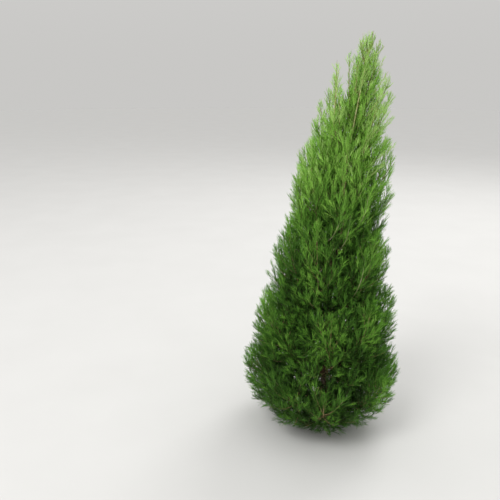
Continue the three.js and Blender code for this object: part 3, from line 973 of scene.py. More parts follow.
# %% [markdown]
# ## Trees of nodes
#
# Three Geometry Nodes trees do the repeating work: one gives a branch its round section, one sets needles
# along the strands of a sprig, and one spreads sprigs over the crown. Small helpers build a tree from
# Python, and one of them, grow, runs it on a mesh and keeps the result as a plain mesh, because instances
# don't survive an export.

# %% Helpers for nodes
FIBRE_ROUGHNESS = 0.6


def set_sockets(tree, node, sockets):
    """Gives each named socket of a node a value or a link"""
    for name, value in sockets.items():
        if isinstance(value, bpy.types.NodeSocket):
            tree.links.new(value, node.inputs[name])
        else:
            node.inputs[name].default_value = value


def add_node(tree, kind, sockets=None, **properties):
    """A new node with its properties and its sockets set"""
    node = tree.nodes.new(kind)
    for name, value in properties.items():
        setattr(node, name, value)
    set_sockets(tree, node, sockets or {})
    return node


def value_of(tree, kind, sockets=None, **properties):
    """The first output of a new node"""
    return add_node(tree, kind, sockets, **properties).outputs[0]


def calculate(tree, operation, first, second):
    return value_of(tree, "ShaderNodeMath", {0: first, 1: second}, operation=operation)


def add_sockets(tree, side, sockets):
    """Named sockets on one side of a tree, each with its kind and the value it starts from, or None"""
    for label, (kind, value) in sockets.items():
        socket = tree.interface.new_socket(label, in_out=side, socket_type="NodeSocket" + kind)
        if value is not None:
            socket.default_value = value


def new_growth_tree(name, inputs):
    """A Geometry Nodes tree with a geometry socket and the named inputs, and its input sockets by name"""
    tree = bpy.data.node_groups.new(name, "GeometryNodeTree")
    add_sockets(tree, "INPUT", {"Geometry": ("Geometry", None), **inputs})
    add_sockets(tree, "OUTPUT", {"Geometry": ("Geometry", None)})
    return tree, add_node(tree, "NodeGroupInput").outputs


def end_growth_tree(tree, geometry, material):
    """Every tree ends alike: instances made real, then the material"""
    real = value_of(tree, "GeometryNodeRealizeInstances", {"Geometry": geometry})
    painted = value_of(tree, "GeometryNodeSetMaterial", {"Geometry": real, "Material": material})
    add_node(tree, "NodeGroupOutput", {"Geometry": painted})


def attribute_of(tree, name, kind):
    node = add_node(tree, "GeometryNodeInputNamedAttribute", {"Name": name}, data_type=kind)
    return node.outputs["Attribute"]


def facing(tree, heading, own_turn):
    """The rotation that turns Z to a heading, on top of a turn of its own"""
    aligned = value_of(tree, "FunctionNodeAlignRotationToVector", {"Vector": heading}, axis="Z")
    return value_of(tree, "FunctionNodeRotateRotation", {"Rotation": aligned, "Rotate By": own_turn},
                    rotation_space="LOCAL")


def noise_at(tree, place, scale, detail, **finish):
    noise = add_node(tree, "ShaderNodeTexNoise",
                     {"Vector": place, "Scale": scale, "Detail": detail, **finish})
    return noise.outputs["Fac"]


def fibre_noise(tree, grain, width, stretch, detail, **finish):
    """Noise in fibres along a limb: as fine across it as their width, and longer by the stretch"""
    squeeze = value_of(tree, "ShaderNodeCombineXYZ",
                       {"X": 1.0, "Y": 1.0, "Z": calculate(tree, "DIVIDE", 1.0, stretch)})
    stretched = value_of(tree, "ShaderNodeVectorMath", {0: grain, 1: squeeze}, operation="MULTIPLY")
    return noise_at(tree, stretched, calculate(tree, "DIVIDE", 1.0, width), detail,
                    Roughness=FIBRE_ROUGHNESS, **finish)


def grow(name, mesh, tree, values):
    """Runs a tree on a mesh and gives the result as a plain object, with no modifier left"""
    source = add_object(name + "_source", mesh)
    modifier = source.modifiers.new("growth", "NODES")
    modifier.node_group = tree
    for item in tree.interface.items_tree:
        if item.in_out == "INPUT" and item.name in values:
            modifier[item.identifier] = values[item.name]
    evaluated = source.evaluated_get(bpy.context.evaluated_depsgraph_get())
    plain = bpy.data.meshes.new_from_object(evaluated)
    bpy.data.objects.remove(source)
    plain.name = name
    return add_object(name, plain)


def triangles(piece):
    return sum(len(face.vertices) - 2 for face in piece.data.polygons)


# %% [markdown]
# ## Round limbs
#
# A branch could be a curve with a bevel, but a tree of nodes can do more: it resamples each path into
# rings, gives each ring its radius, pushes the surface in and out along the fibres of the bark, and
# leaves each point with coordinates round and along the limb for the material to use. The same tree makes
# the trunk with its many sides and the finest shoot with three.

# %% The tree for limbs
def captured(tree, curve, kind, **values):
    """Outputs of a curve that carries values along: itself first, then each value by its name"""
    node = add_node(tree, "GeometryNodeCaptureAttribute", {"Geometry": curve})
    for label, value in values.items():
        node.capture_items.new(kind, label)
        tree.links.new(value, node.inputs[label])
    return node.outputs


def make_limb_tree():
    """Gives the edges of a mesh a round section and the relief of fibres"""
    tree, given = new_growth_tree("round limbs", {
        "Sides": ("Int", 8), "Ring Spacing": ("Float", 0.01), "Fibre Width": ("Float", 0.005),
        "Stretch": ("Float", 9.0), "Material": ("Material", None)})
    curve = value_of(tree, "GeometryNodeMeshToCurve", {"Mesh": given["Geometry"]})
    rings = value_of(tree, "GeometryNodeResampleCurve", {"Curve": curve, "Length": given["Ring Spacing"]},
                     mode="LENGTH")
    lengthwise = captured(tree, rings, "FLOAT",
                          along=add_node(tree, "GeometryNodeSplineParameter").outputs["Length"],
                          radius=attribute_of(tree, "limb_radius", "FLOAT"))
    circle = value_of(tree, "GeometryNodeCurvePrimitiveCircle",
                      {"Resolution": given["Sides"], "Radius": 1.0})
    crosswise = captured(tree, circle, "VECTOR", round=value_of(tree, "GeometryNodeInputPosition"))
    tube = value_of(tree, "GeometryNodeCurveToMesh",
                    {"Curve": lengthwise[0], "Profile Curve": crosswise[0],
                     "Scale": lengthwise["radius"], "Fill Caps": True})
    across = value_of(tree, "ShaderNodeVectorMath", {0: crosswise["round"], "Scale": lengthwise["radius"]},
                      operation="SCALE")
    upward = value_of(tree, "ShaderNodeCombineXYZ", {"Z": lengthwise["along"]})
    grain = value_of(tree, "ShaderNodeVectorMath", {0: across, 1: upward}, operation="ADD")
    stored = value_of(tree, "GeometryNodeStoreNamedAttribute",
                      {"Geometry": tube, "Name": "bark_grain", "Value": grain}, data_type="FLOAT_VECTOR")
    fibres = fibre_noise(tree, grain, given["Fibre Width"], given["Stretch"], detail=3.0)
    height = calculate(tree, "MULTIPLY", calculate(tree, "SUBTRACT", fibres, 0.5),
                       attribute_of(tree, "limb_relief", "FLOAT"))
    normal = value_of(tree, "GeometryNodeInputNormal")
    push = value_of(tree, "ShaderNodeVectorMath", {0: normal, "Scale": height}, operation="SCALE")
    carved = value_of(tree, "GeometryNodeSetPosition", {"Geometry": stored, "Offset": push})
    smooth = value_of(tree, "GeometryNodeSetShadeSmooth", {"Geometry": carved})
    end_growth_tree(tree, smooth, given["Material"])
    return tree


def store(mesh, label, values, kind="FLOAT"):
    """Keeps a value for each point of a mesh, where a tree of nodes finds it by its name"""
    field = "vector" if kind == "FLOAT_VECTOR" else "value"
    mesh.attributes.new(label, kind, "POINT").data.foreach_set(field, np.ravel(values))


def chains_mesh(name, paths):
    """One mesh of open chains of edges"""
    ends = np.cumsum([len(path) for path in paths])
    edges = [(i, i + 1) for path, end in zip(paths, ends) for i in range(end - len(path), end - 1)]
    mesh = bpy.data.meshes.new(name)
    mesh.from_pydata(np.vstack(paths).tolist(), edges, [])
    return mesh


def limbs_mesh(name, paths, radii, reliefs):
    """Chains with a radius and a depth of relief at each point"""
    mesh = chains_mesh(name, paths)
    store(mesh, "limb_radius", np.concatenate(radii))
    store(mesh, "limb_relief", np.concatenate(reliefs))
    return mesh


limb_tree = make_limb_tree()
print("limb tree:", len(limb_tree.nodes), "nodes")

# %% [markdown]
# ## Bark
#
# Juniper bark peels in long thin fibres: rust brown where it is fresh, grey where it has weathered, straw
# pale on loose shoots high up in the light, and green on the youngest. All of these are one effect with
# other colours and widths, so it is a node group, built once. It reads the coordinates that the limb tree
# left on the surface, which makes the fibres follow each limb, however it bends. The group gives a
# colour, a roughness and a height; each material adds its own bump.

# %% Helpers for effects
MIX_SHARE, MIX_FIRST, MIX_SECOND, MIX_COLOUR = 0, 6, 7, 2


def new_effect(name, inputs, outputs):
    """A shader node group with named inputs and outputs: itself, its input sockets and its last node"""
    group = bpy.data.node_groups.new(name, "ShaderNodeTree")
    add_sockets(group, "INPUT", inputs)
    add_sockets(group, "OUTPUT", {label: (kind, None) for label, kind in outputs.items()})
    return group, add_node(group, "NodeGroupInput").outputs, add_node(group, "NodeGroupOutput")


def mix_colours(tree, share, first, second):
    """A mix of two colours, each a value or a socket, by the numbers of the node's colour sockets"""
    mix = add_node(tree, "ShaderNodeMix", {MIX_SHARE: share, MIX_FIRST: first, MIX_SECOND: second},
                   data_type="RGBA")
    return mix.outputs[MIX_COLOUR]


def remap(tree, value, span, result=(0.0, 1.0)):
    """Eases a value from one span over to another, and holds it at the ends"""
    ends = {"From Min": span[0], "From Max": span[1], "To Min": result[0], "To Max": result[1]}
    return value_of(tree, "ShaderNodeMapRange", {"Value": value, **ends}, interpolation_type="SMOOTHSTEP")


# %% The effect of peeling fibres
RIDGE_SPAN, RIDGE_ROUGHNESS = (0.40, 0.62), (0.95, 0.74)
PATCH_SCALE, PATCH_SPAN, PATCH_SHARES = 26.0, (0.46, 0.64), (0.0, 0.75)


def make_fibre_effect():
    """Ridges and furrows in two colours, with patches of a third where the bark has weathered"""
    group, given, result = new_effect(
        "peeling fibres",
        {"Grain": ("Vector", None), "Fibre Width": ("Float", 0.004), "Stretch": ("Float", 9.0),
         "Ridge": ("Color", None), "Furrow": ("Color", None), "Weathered": ("Color", None)},
        {"Color": "Color", "Roughness": "Float", "Height": "Float"})
    fibres = fibre_noise(group, given["Grain"], given["Fibre Width"], given["Stretch"], detail=4.0,
                         Distortion=0.3)
    patches = noise_at(group, given["Grain"], PATCH_SCALE, detail=3.0)
    ridges = remap(group, fibres, RIDGE_SPAN)
    weather = remap(group, patches, PATCH_SPAN, PATCH_SHARES)
    fresh = mix_colours(group, ridges, given["Furrow"], given["Ridge"])
    set_sockets(group, result, {
        "Color": mix_colours(group, weather, fresh, given["Weathered"]),
        "Roughness": remap(group, ridges, (0.0, 1.0), RIDGE_ROUGHNESS), "Height": fibres})
    return group


fibre_effect = make_fibre_effect()
print("fibres:", len(fibre_effect.nodes), "nodes")

# %% The barks
def new_material(name):
    """A material with its node tree and its surface shader"""
    material = bpy.data.materials.new(name)
    material.use_nodes = True
    return material, material.node_tree, material.node_tree.nodes["Principled BSDF"]


OLD_COLOURS = ((0.205, 0.110, 0.066), (0.052, 0.027, 0.017), (0.270, 0.225, 0.180))
YOUNG_COLOURS = ((0.440, 0.330, 0.160), (0.220, 0.150, 0.070), (0.500, 0.420, 0.250))
DULL_COLOURS = ((0.350, 0.350, 0.175), (0.200, 0.200, 0.090), (0.400, 0.400, 0.240))
PALE_COLOURS = ((0.620, 0.580, 0.280), (0.360, 0.340, 0.140), (0.660, 0.600, 0.360))
GREEN_COLOURS = ((0.115, 0.130, 0.036), (0.056, 0.066, 0.018), (0.190, 0.150, 0.070))
PALE_HEIGHTS = (1.0, 1.35)
OLD_FIBRES, OLD_RELIEF = 0.0036, 0.0006
YOUNG_FIBRES, YOUNG_RELIEF = 0.0022, 0.0001
GREEN_FIBRES, GREEN_RELIEF = 0.0016, 0.00002
BARK_BUMP, BARK_GLOSS = 0.7, 0.25


def add_fibres(tree, grain, width, colours):
    """The fibre effect in a material's tree, with its own width and three colours"""
    ridge, furrow, weathered = ((*colour, 1) for colour in colours)
    fibres = add_node(tree, "ShaderNodeGroup",
                      {"Grain": grain, "Fibre Width": width, "Ridge": ridge, "Furrow": furrow,
                       "Weathered": weathered}, node_tree=fibre_effect)
    return fibres.outputs


def make_bark(name, width, relief, colours, colours_above=None):
    """Bark in its own colours, which may go over to others higher up"""
    material, tree, surface = new_material(name)
    grain = add_node(tree, "ShaderNodeAttribute", attribute_name="bark_grain").outputs["Vector"]
    fibres = add_fibres(tree, grain, width, colours)
    colour = fibres["Color"]
    if colours_above:
        place = add_node(tree, "ShaderNodeTexCoord").outputs["Object"]
        height = add_node(tree, "ShaderNodeSeparateXYZ", {"Vector": place}).outputs["Z"]
        share = remap(tree, height, PALE_HEIGHTS)
        colour = mix_colours(tree, share, colour, add_fibres(tree, grain, width, colours_above)["Color"])
    bump = value_of(tree, "ShaderNodeBump",
                    {"Height": fibres["Height"], "Strength": BARK_BUMP, "Distance": relief})
    set_sockets(tree, surface, {"Base Color": colour, "Roughness": fibres["Roughness"], "Normal": bump,
                                "Specular IOR Level": BARK_GLOSS})
    return material


old_bark = make_bark("old_bark", OLD_FIBRES, OLD_RELIEF, OLD_COLOURS, PALE_COLOURS)
young_bark = make_bark("young_bark", YOUNG_FIBRES, YOUNG_RELIEF, YOUNG_COLOURS)
pale_bark = make_bark("pale_bark", YOUNG_FIBRES, YOUNG_RELIEF, DULL_COLOURS, PALE_COLOURS)
green_bark = make_bark("green_bark", GREEN_FIBRES, GREEN_RELIEF, GREEN_COLOURS)
print("barks:", [bark.name for bark in (old_bark, young_bark, pale_bark, green_bark)])

# %% [markdown]
# ## Needle green
#
# A fresh needle is green and slightly waxy on its back, and its hollow side carries two pale bands of
# wax. From arm's length the bands only pale the needles that show their hollow side, so the material
# mixes in a little blue-white there. A soft drift of tone over the crown keeps two neighbours from being
# quite the same green.

# %% The effect of drifting tone
WAX_GREEN = (0.27, 0.42, 0.22, 1)
WAX_SHARE = 0.05
BROAD_SCALE, FINE_SCALE = 16.0, 380.0
TONE_SPAN, FINE_SPAN, NEEDLE_ROUGHNESS = (0.75, 1.25), (0.3, 0.7), (0.48, 0.66)
NEEDLE_GLOSS = 0.2


def make_tone_effect():
    """Two colours that drift into each other over the crown and from needle to needle"""
    group, given, result = new_effect(
        "drifting tone",
        {"Place": ("Vector", None), "Darker": ("Color", None), "Lighter": ("Color", None)},
        {"Color": "Color", "Roughness": "Float"})
    broad = noise_at(group, given["Place"], BROAD_SCALE, detail=2.0)
    fine = noise_at(group, given["Place"], FINE_SCALE, detail=1.0)
    share = remap(group, calculate(group, "ADD", broad, fine), TONE_SPAN)
    set_sockets(group, result, {"Color": mix_colours(group, share, given["Darker"], given["Lighter"]),
                                "Roughness": remap(group, fine, FINE_SPAN, NEEDLE_ROUGHNESS)})
    return group


tone_effect = make_tone_effect()


def make_needle_green(name, colour, drift):
    """A green that drifts darker and lighter, paler where a needle shows its hollow side"""
    material, tree, surface = new_material(name)
    place = add_node(tree, "ShaderNodeTexCoord").outputs["Object"]
    darker, lighter = ((*(share * value for value in colour), 1) for share in (1 - drift, 1 + drift))
    tone = add_node(tree, "ShaderNodeGroup", {"Place": place, "Darker": darker, "Lighter": lighter},
                    node_tree=tone_effect).outputs
    backfacing = add_node(tree, "ShaderNodeNewGeometry").outputs["Backfacing"]
    hollow = calculate(tree, "MULTIPLY", backfacing, WAX_SHARE)
    set_sockets(tree, surface, {"Base Color": mix_colours(tree, hollow, tone["Color"], WAX_GREEN),
                                "Roughness": tone["Roughness"], "Specular IOR Level": NEEDLE_GLOSS})
    return material


print("tone:", len(tone_effect.nodes), "nodes")

# %% [markdown]
# ## The trunk
#
# The trunk is whole from the flat cut at the ground up to its tip, hidden by foliage for most of the way.
# It leans a little to the right as it climbs, and widens into its roots over the last few centimetres.
# The relief fades out at the ground and at the tip, so that the trunk stands flat and ends where its
# solid does.

# %% The trunk
TRUNK_SIDES, TRUNK_RINGS = 34, 0.007
TRUNK_RELIEF, TRUNK_FIBRES = 0.16, 0.006
TRUNK_SAMPLES = 120
FOOT_CUT, TIP_CUT = 0.006, 0.004

heights = np.linspace(0, TRUNK_TOP, TRUNK_SAMPLES)
relief = TRUNK_RELIEF * trunk_radius(heights) * np.clip(heights / FOOT_CUT, 0, 1)
relief *= heights < TRUNK_TOP - TIP_CUT
trunk_line = trunk_point(heights)
trunk_line[:2, 0] = 0
trunk_path = limbs_mesh("trunk_path", [trunk_line], [trunk_radius(heights)], [relief])
trunk = grow("bark_of_trunk", trunk_path, limb_tree,
             {"Sides": TRUNK_SIDES, "Ring Spacing": TRUNK_RINGS, "Fibre Width": TRUNK_FIBRES,
              "Material": old_bark})
print("trunk:", triangles(trunk), "triangles")

# %% [markdown]
# ## Boughs, stems and shoots
#
# A bough is the bare foot of a plume's stem. It is thicker where it leaves the trunk, in a collar, and
# runs a little way into the stem that carries on from it. From there on the wood gets finer with every
# fork, so each kind of branch has as few sides and rings as its thickness allows. Each kind is a piece of
# its own.

# %% The boughs
BOUGH_SIDES, BOUGH_RINGS = 10, 0.005
BOUGH_RELIEF, BOUGH_FIBRES = 0.14, 0.004
BOUGH_SAMPLES, BOUGH_OVERLAP = 20, 0.01
COLLAR, COLLAR_END = 1.35, 0.3

share = np.linspace(0, 1, BOUGH_SAMPLES)
collar = 1 + (COLLAR - 1) * np.clip(1 - share / COLLAR_END, 0, 1)
bough_paths, bough_radii = [], []
for plume in plumes:
    if plume.bough > 0:
        bough_paths.append(plume.point(share * (plume.bough + BOUGH_OVERLAP)))
        bough_radii.append(plume.radius * blend(1, BOUGH_TAPER, share) * collar)
bough_mesh = limbs_mesh("bough_paths", bough_paths, bough_radii,
                        [BOUGH_RELIEF * radii for radii in bough_radii])
boughs = grow("bark_of_boughs", bough_mesh, limb_tree,
              {"Sides": BOUGH_SIDES, "Ring Spacing": BOUGH_RINGS, "Fibre Width": BOUGH_FIBRES,
               "Material": young_bark})
print("boughs:", triangles(boughs), "triangles")

# %% Stems, twigs and shoots
LIMB_VALUES = {
    "stem": {"Sides": 7, "Ring Spacing": 0.02, "Material": young_bark},
    "twig": {"Sides": 4, "Ring Spacing": 0.03, "Material": young_bark},
    "whip": {"Sides": 4, "Ring Spacing": 0.02, "Material": pale_bark},
    "pale_stem": {"Sides": 5, "Ring Spacing": 0.02, "Material": pale_bark},
    "shoot": {"Sides": 3, "Ring Spacing": 0.04, "Material": green_bark},
    "late_shoot": {"Sides": 3, "Ring Spacing": 0.045, "Material": green_bark},
    "spire": {"Sides": 3, "Ring Spacing": 0.03, "Material": young_bark},
}
wood = []
for kind, values in LIMB_VALUES.items():
    own = [branch for branch in branches if branch.kind == kind]
    radii = [branch.radii() for branch in own]
    mesh = limbs_mesh(kind + "_paths", [branch.path for branch in own], radii, [0 * row for row in radii])
    wood.append(grow("wood_of_" + kind + "s", mesh, limb_tree, values))
    print(kind, triangles(wood[-1]), "triangles")

# %% [markdown]
# ## A sprig of needles
#
# Young juniper foliage is awl-shaped needles about a centimetre long, set round a green strand and
# leaning forward along it. A needle is a kite of two triangles folded along its middle. Deep in the
# crown, where nobody sees its shape, one longer and wider triangle does. A sprig is one strand with a few
# side strands, and a tree of nodes sets the needles along them in a spiral, shorter towards each tip. The
# needles are somewhat larger than life, because a real tree has a hundred times as many.

# %% Two needles
NEEDLE_LENGTH, NEEDLE_WIDTH = 0.0122, 0.0022
NEEDLE_WIDEST, NEEDLE_FOLD = 0.36, 0.4
INNER_NEEDLE_LENGTH, INNER_NEEDLE_WIDTH = 0.020, 0.0058


def make_needle(name, corners, faces):
    mesh = bpy.data.meshes.new(name)
    mesh.from_pydata(corners, [], faces)
    return add_object(name, mesh)


half = NEEDLE_WIDTH / 2
widest = NEEDLE_LENGTH * NEEDLE_WIDEST
folded = [(0, 0, 0), (-half, -half * NEEDLE_FOLD, widest), (0, 0, NEEDLE_LENGTH),
          (half, -half * NEEDLE_FOLD, widest)]
needle = make_needle("needle", folded, [(0, 2, 1), (0, 3, 2)])
awl = [(-INNER_NEEDLE_WIDTH / 2, 0, 0), (INNER_NEEDLE_WIDTH / 2, 0, 0), (0, 0, INNER_NEEDLE_LENGTH)]
inner_needle = make_needle("inner_needle", awl, [(0, 1, 2)])
print("needles:", len(needle.data.polygons), "and", len(inner_needle.data.polygons), "triangles")

# %% The tree that sets needles along strands
def make_needle_tree():
    """Sets needles in a spiral along the edges of a mesh, and gives each strand a narrow ribbon"""
    tree, given = new_growth_tree("needles on strands", {
        "Needle": ("Object", None), "Needle Gap": ("Float", 0.0085), "Lean": ("Float", math.radians(12)),
        "Turn": ("Float", math.radians(137.5)), "Tip Size": ("Float", 0.7),
        "Strand Width": ("Float", 0.0014), "Material": ("Material", None)})
    curve = value_of(tree, "GeometryNodeMeshToCurve", {"Mesh": given["Geometry"]})
    steps = value_of(tree, "GeometryNodeResampleCurve", {"Curve": curve, "Length": given["Needle Gap"]},
                     mode="LENGTH")
    turn = calculate(tree, "MULTIPLY", value_of(tree, "GeometryNodeInputIndex"), given["Turn"])
    angles = value_of(tree, "ShaderNodeCombineXYZ", {"X": given["Lean"], "Z": turn})
    own_turn = value_of(tree, "FunctionNodeEulerToRotation", {0: angles})
    rotation = facing(tree, value_of(tree, "GeometryNodeInputTangent"), own_turn)
    share = attribute_of(tree, "strand_share", "FLOAT")
    shrink = value_of(tree, "ShaderNodeMapRange", {0: share, "To Min": 1.0, "To Max": given["Tip Size"]})
    shape = add_node(tree, "GeometryNodeObjectInfo", {"Object": given["Needle"]}).outputs["Geometry"]
    needles = value_of(tree, "GeometryNodeInstanceOnPoints",
                       {"Points": steps, "Instance": shape, "Rotation": rotation, "Scale": shrink})
    few = value_of(tree, "GeometryNodeResampleCurve", {"Curve": curve, "Count": 2}, mode="COUNT")
    ribbon = value_of(tree, "GeometryNodeCurvePrimitiveLine", {"Start": (-0.5, 0, 0), "End": (0.5, 0, 0)},
                      mode="POINTS")
    strand = value_of(tree, "GeometryNodeCurveToMesh",
                      {"Curve": few, "Profile Curve": ribbon, "Scale": given["Strand Width"]})
    both = add_node(tree, "GeometryNodeJoinGeometry")
    tree.links.new(needles, both.inputs[0])
    tree.links.new(strand, both.inputs[0])
    end_growth_tree(tree, both.outputs[0], given["Material"])
    return tree


needle_tree = make_needle_tree()
print("needle tree:", len(needle_tree.nodes), "nodes")

# %% The kinds of sprig
SPRIG_KINDS = 6
SIDE_STRANDS = ((0.05, 0.58), (0.20, 0.52), (0.36, 0.45), (0.52, 0.38))
INNER_SIDE_STRANDS = ((0.10, 0.60), (0.32, 0.52), (0.54, 0.40))
STRAND_SPREAD, STRAND_SPREAD_CHANCE = math.radians(20), (0.6, 1.3)
STRAND_LENGTH_CHANCE = (0.9, 1.1)
STRAND_CURL, STRAND_LIFT, STRAND_SAG = 0.14, 0.1, 0.12
STRAND_POINTS = 5


def sprig_strands(side_strands):
    """The strands of one sprig: one with a slight curl, and side strands that bend back towards it"""
    share = np.linspace(0, 1, STRAND_POINTS)
    curl = outward_at(rng.uniform(0, 2 * math.pi))
    main = UP * share[:, None] * SPRIG_LENGTH + curl * (share**2)[:, None] * STRAND_CURL * SPRIG_LENGTH
    strands = [main]
    first = rng.uniform(0, 2 * math.pi)
    for k, (at, size) in enumerate(side_strands):
        root = path_at(main, np.array([at]))[0][0]
        spread = STRAND_SPREAD * rng.uniform(*STRAND_SPREAD_CHANCE)
        length = SPRIG_LENGTH * size * rng.uniform(*STRAND_LENGTH_CHANCE)
        out = outward_at(first + k * GOLDEN_ANGLE)
        tip = root + (UP * math.cos(spread) + out * math.sin(spread)) * length
        strands.append(swept(root, tip + UP * length * STRAND_LIFT, STRAND_SAG, STRAND_POINTS))
    return strands


def make_sprig(name, side_strands, values):
    """One sprig, upright at the origin. It gets its green only when it is spread over the crown"""
    strands = sprig_strands(side_strands)
    mesh = chains_mesh("strands", strands)
    store(mesh, "strand_share", np.tile(np.linspace(0, 1, STRAND_POINTS), len(strands)))
    return grow(name, mesh, needle_tree, dict(values, Material=young_bark))


INNER_VALUES = {"Needle": inner_needle, "Needle Gap": 0.0095, "Strand Width": 0.0018}
sprig_store = bpy.data.collections.new("sprigs")
bpy.context.scene.collection.children.link(sprig_store)
for name, side_strands, values in (("sprig_a_inner", INNER_SIDE_STRANDS, INNER_VALUES),
                                   ("sprig_b_outer", SIDE_STRANDS, {"Needle": needle})):
    for number in range(SPRIG_KINDS):
        sprig = make_sprig(f"{name}_{number}", side_strands, values)
        bpy.context.scene.collection.objects.unlink(sprig)
        sprig_store.objects.link(sprig)
by_name = sorted(sprig_store.objects, key=lambda sprig: sprig.name)
sprig_triangles = [triangles(sprig) for sprig in by_name]
print("triangles of each sprig:", sprig_triangles)

# %% [markdown]
# ## Seven greens
#
# The crown isn't one green. Deep inside, where shade falls, it is painted nearly black, and low down it is
# a full grass green. It pales towards the top, partly paler growth and partly painted light from the sky
# above, and at every tip, partly new growth and partly a painted highlight. The colours have a place, so
# each is a piece of its own with one base colour. A sprig's brightness is worked out from how near it is
# to the outside of the crown, darker inside as painted shade, and to its flame's tip, how high it sits and
# how far along its shoot, less in the grooves and at the edges of flames as painted shade, and with some
# chance. Then the sprigs are sorted by it and dealt out, and each green gets its share of all the needles.

# %% Dealing out the sprigs
# Seven base greens dealt out by brightness: the darkest are painted shade deep inside the crown and in its
# grooves, the palest partly painted light at the top and a painted highlight at the tips
TINTS = (
    ("deep", 0.15, (0.030, 0.084, 0.010)),
    ("shade", 0.17, (0.052, 0.144, 0.015)),
    ("body", 0.18, (0.076, 0.207, 0.021)),
    ("full", 0.17, (0.106, 0.268, 0.028)),
    ("fresh", 0.15, (0.172, 0.388, 0.045)),
    ("bright", 0.12, (0.280, 0.545, 0.080)),
    ("tip", 0.06, (0.440, 0.680, 0.180)),
)
TONE_DRIFT = 0.22
INNER_DEPTH = 0.06
INNER_SHARE = 0.8
# Painted shade: the greens darken over this depth below the crown's outline
INNER_SHADE_DEPTH = 0.045
# Paler greens near the flames' tips: partly new growth, partly a painted highlight
TIP_DISTANCE = 0.10
YOUTH_GAIN, TIP_GROWTH_AND_HIGHLIGHT = 0.25, 0.4
# Paler greens higher up: partly paler growth, partly painted light from the sky above
GROWTH_AND_LIGHT_HEIGHTS, HEIGHT_GROWTH_AND_LIGHT = (0, 0.9, 1.25, 1.45, 1.78), (0.32, 0.74, 1.56, 1.82, 1.74)
# How strongly shade is painted inside the crown: strong low down, weaker higher up
INNER_SHADE_HEIGHTS, INNER_SHADE_GAINS = (0.6, 1.3), (0.50, 0.25)
# Painted shade in the grooves where plumes meet and at the edges of flames
GROOVE_SHADE, FLAME_EDGE_SHADE = 0.1, 0.2
FLAME_CHANCE, SPRIG_CHANCE = 0.08, 0.14
NAMED_LUCK = {"second_leader": 0.2, "right_shoots": 0.1, "leader": 0.3}

depth = np.maximum(depth_in_crown(tips_of(sprigs)), 0)
kept = (depth <= INNER_DEPTH) | (rng.uniform(0, 1, len(sprigs)) < INNER_SHARE)
sprigs, depth = sprigs[kept], depth[kept]
kinds = rng.integers(0, SPRIG_KINDS, len(sprigs)) + SPRIG_KINDS * (depth <= INNER_DEPTH)
flame, to_flame, at_edge = nearest_flame(sprigs[:, ROOT])
luck = rng.normal(0, FLAME_CHANCE, len(flame_tips))[flame]
luck += np.array([NAMED_LUCK.get(plume.name, 0) for plume in plumes])[sprigs[:, OWNER].astype(int)]
to_stem, groove = grooves_at(sprigs[:, ROOT])
inner_shade_gain = np.interp(sprigs[:, 2], INNER_SHADE_HEIGHTS, INNER_SHADE_GAINS)
# Paler with height: partly paler growth, partly painted light from above
height_growth_and_light = np.interp(sprigs[:, 2], GROWTH_AND_LIGHT_HEIGHTS, HEIGHT_GROWTH_AND_LIGHT)
chance = rng.normal(0, SPRIG_CHANCE, len(sprigs))
# Brightness: painted shade deep inside, in the grooves and at flame edges; paler higher up and near the
# tips, partly painted light and highlight, partly new growth; paler on young shoots; and chance
brightness = (inner_shade_gain * np.exp(-depth / INNER_SHADE_DEPTH) + height_growth_and_light
              + YOUTH_GAIN * sprigs[:, YOUTH] + TIP_GROWTH_AND_HIGHLIGHT * np.exp(-to_flame / TIP_DISTANCE)
              - GROOVE_SHADE * groove - FLAME_EDGE_SHADE * at_edge + luck + chance)
order = np.argsort(brightness)
share_below = np.cumsum(np.array(sprig_triangles)[kinds[order]])
limits = np.cumsum([share for tint, share, colour in TINTS])[:-1] * share_below[-1]
lots = np.split(order, np.searchsorted(share_below, limits))
print("sprigs of each tint:", [len(lot) for lot in lots], "inner:", int(np.sum(kinds < SPRIG_KINDS)))

# %% The tree that spreads sprigs
def make_spread_tree():
    """Sets a sprig of its own kind, heading, roll and size on each point of a mesh"""
    tree, given = new_growth_tree("sprigs on the crown", {
        "Kinds": ("Collection", None), "Material": ("Material", None)})
    kinds = value_of(tree, "GeometryNodeCollectionInfo",
                     {"Collection": given["Kinds"], "Separate Children": True, "Reset Children": True})
    roll = value_of(tree, "FunctionNodeAxisAngleToRotation",
                    {"Axis": (0, 0, 1), "Angle": attribute_of(tree, "roll", "FLOAT")})
    rotation = facing(tree, attribute_of(tree, "heading", "FLOAT_VECTOR"), roll)
    spread = value_of(tree, "GeometryNodeInstanceOnPoints",
                      {"Points": given["Geometry"], "Instance": kinds, "Pick Instance": True,
                       "Instance Index": attribute_of(tree, "kind", "INT"), "Rotation": rotation,
                       "Scale": attribute_of(tree, "size", "FLOAT")})
    end_growth_tree(tree, spread, given["Material"])
    return tree


def sprig_points(name, rows, kinds):
    """A mesh of loose points that carry each sprig's heading, size, roll and kind"""
    mesh = bpy.data.meshes.new(name)
    mesh.from_pydata(rows[:, ROOT].tolist(), [], [])
    store(mesh, "heading", rows[:, HEADING], "FLOAT_VECTOR")
    store(mesh, "size", rows[:, SIZE])
    store(mesh, "kind", kinds, "INT")
    store(mesh, "roll", rng.uniform(0, 2 * math.pi, len(rows)))
    return mesh


spread_tree = make_spread_tree()
greens = []
for (tint, share, colour), lot in zip(TINTS, lots):
    material = make_needle_green("needles_" + tint, colour, TONE_DRIFT)
    points = sprig_points(tint + "_points", sprigs[lot], kinds[lot])
    values = {"Kinds": sprig_store, "Material": material}
    greens.append(grow("needles_" + tint, points, spread_tree, values))
    print(tint, triangles(greens[-1]), "triangles")
print("needles in all:", sum(triangles(piece) for piece in greens))

for helper in [needle, inner_needle, *sprig_store.objects]:
    bpy.data.objects.remove(helper)
bpy.data.collections.remove(sprig_store)

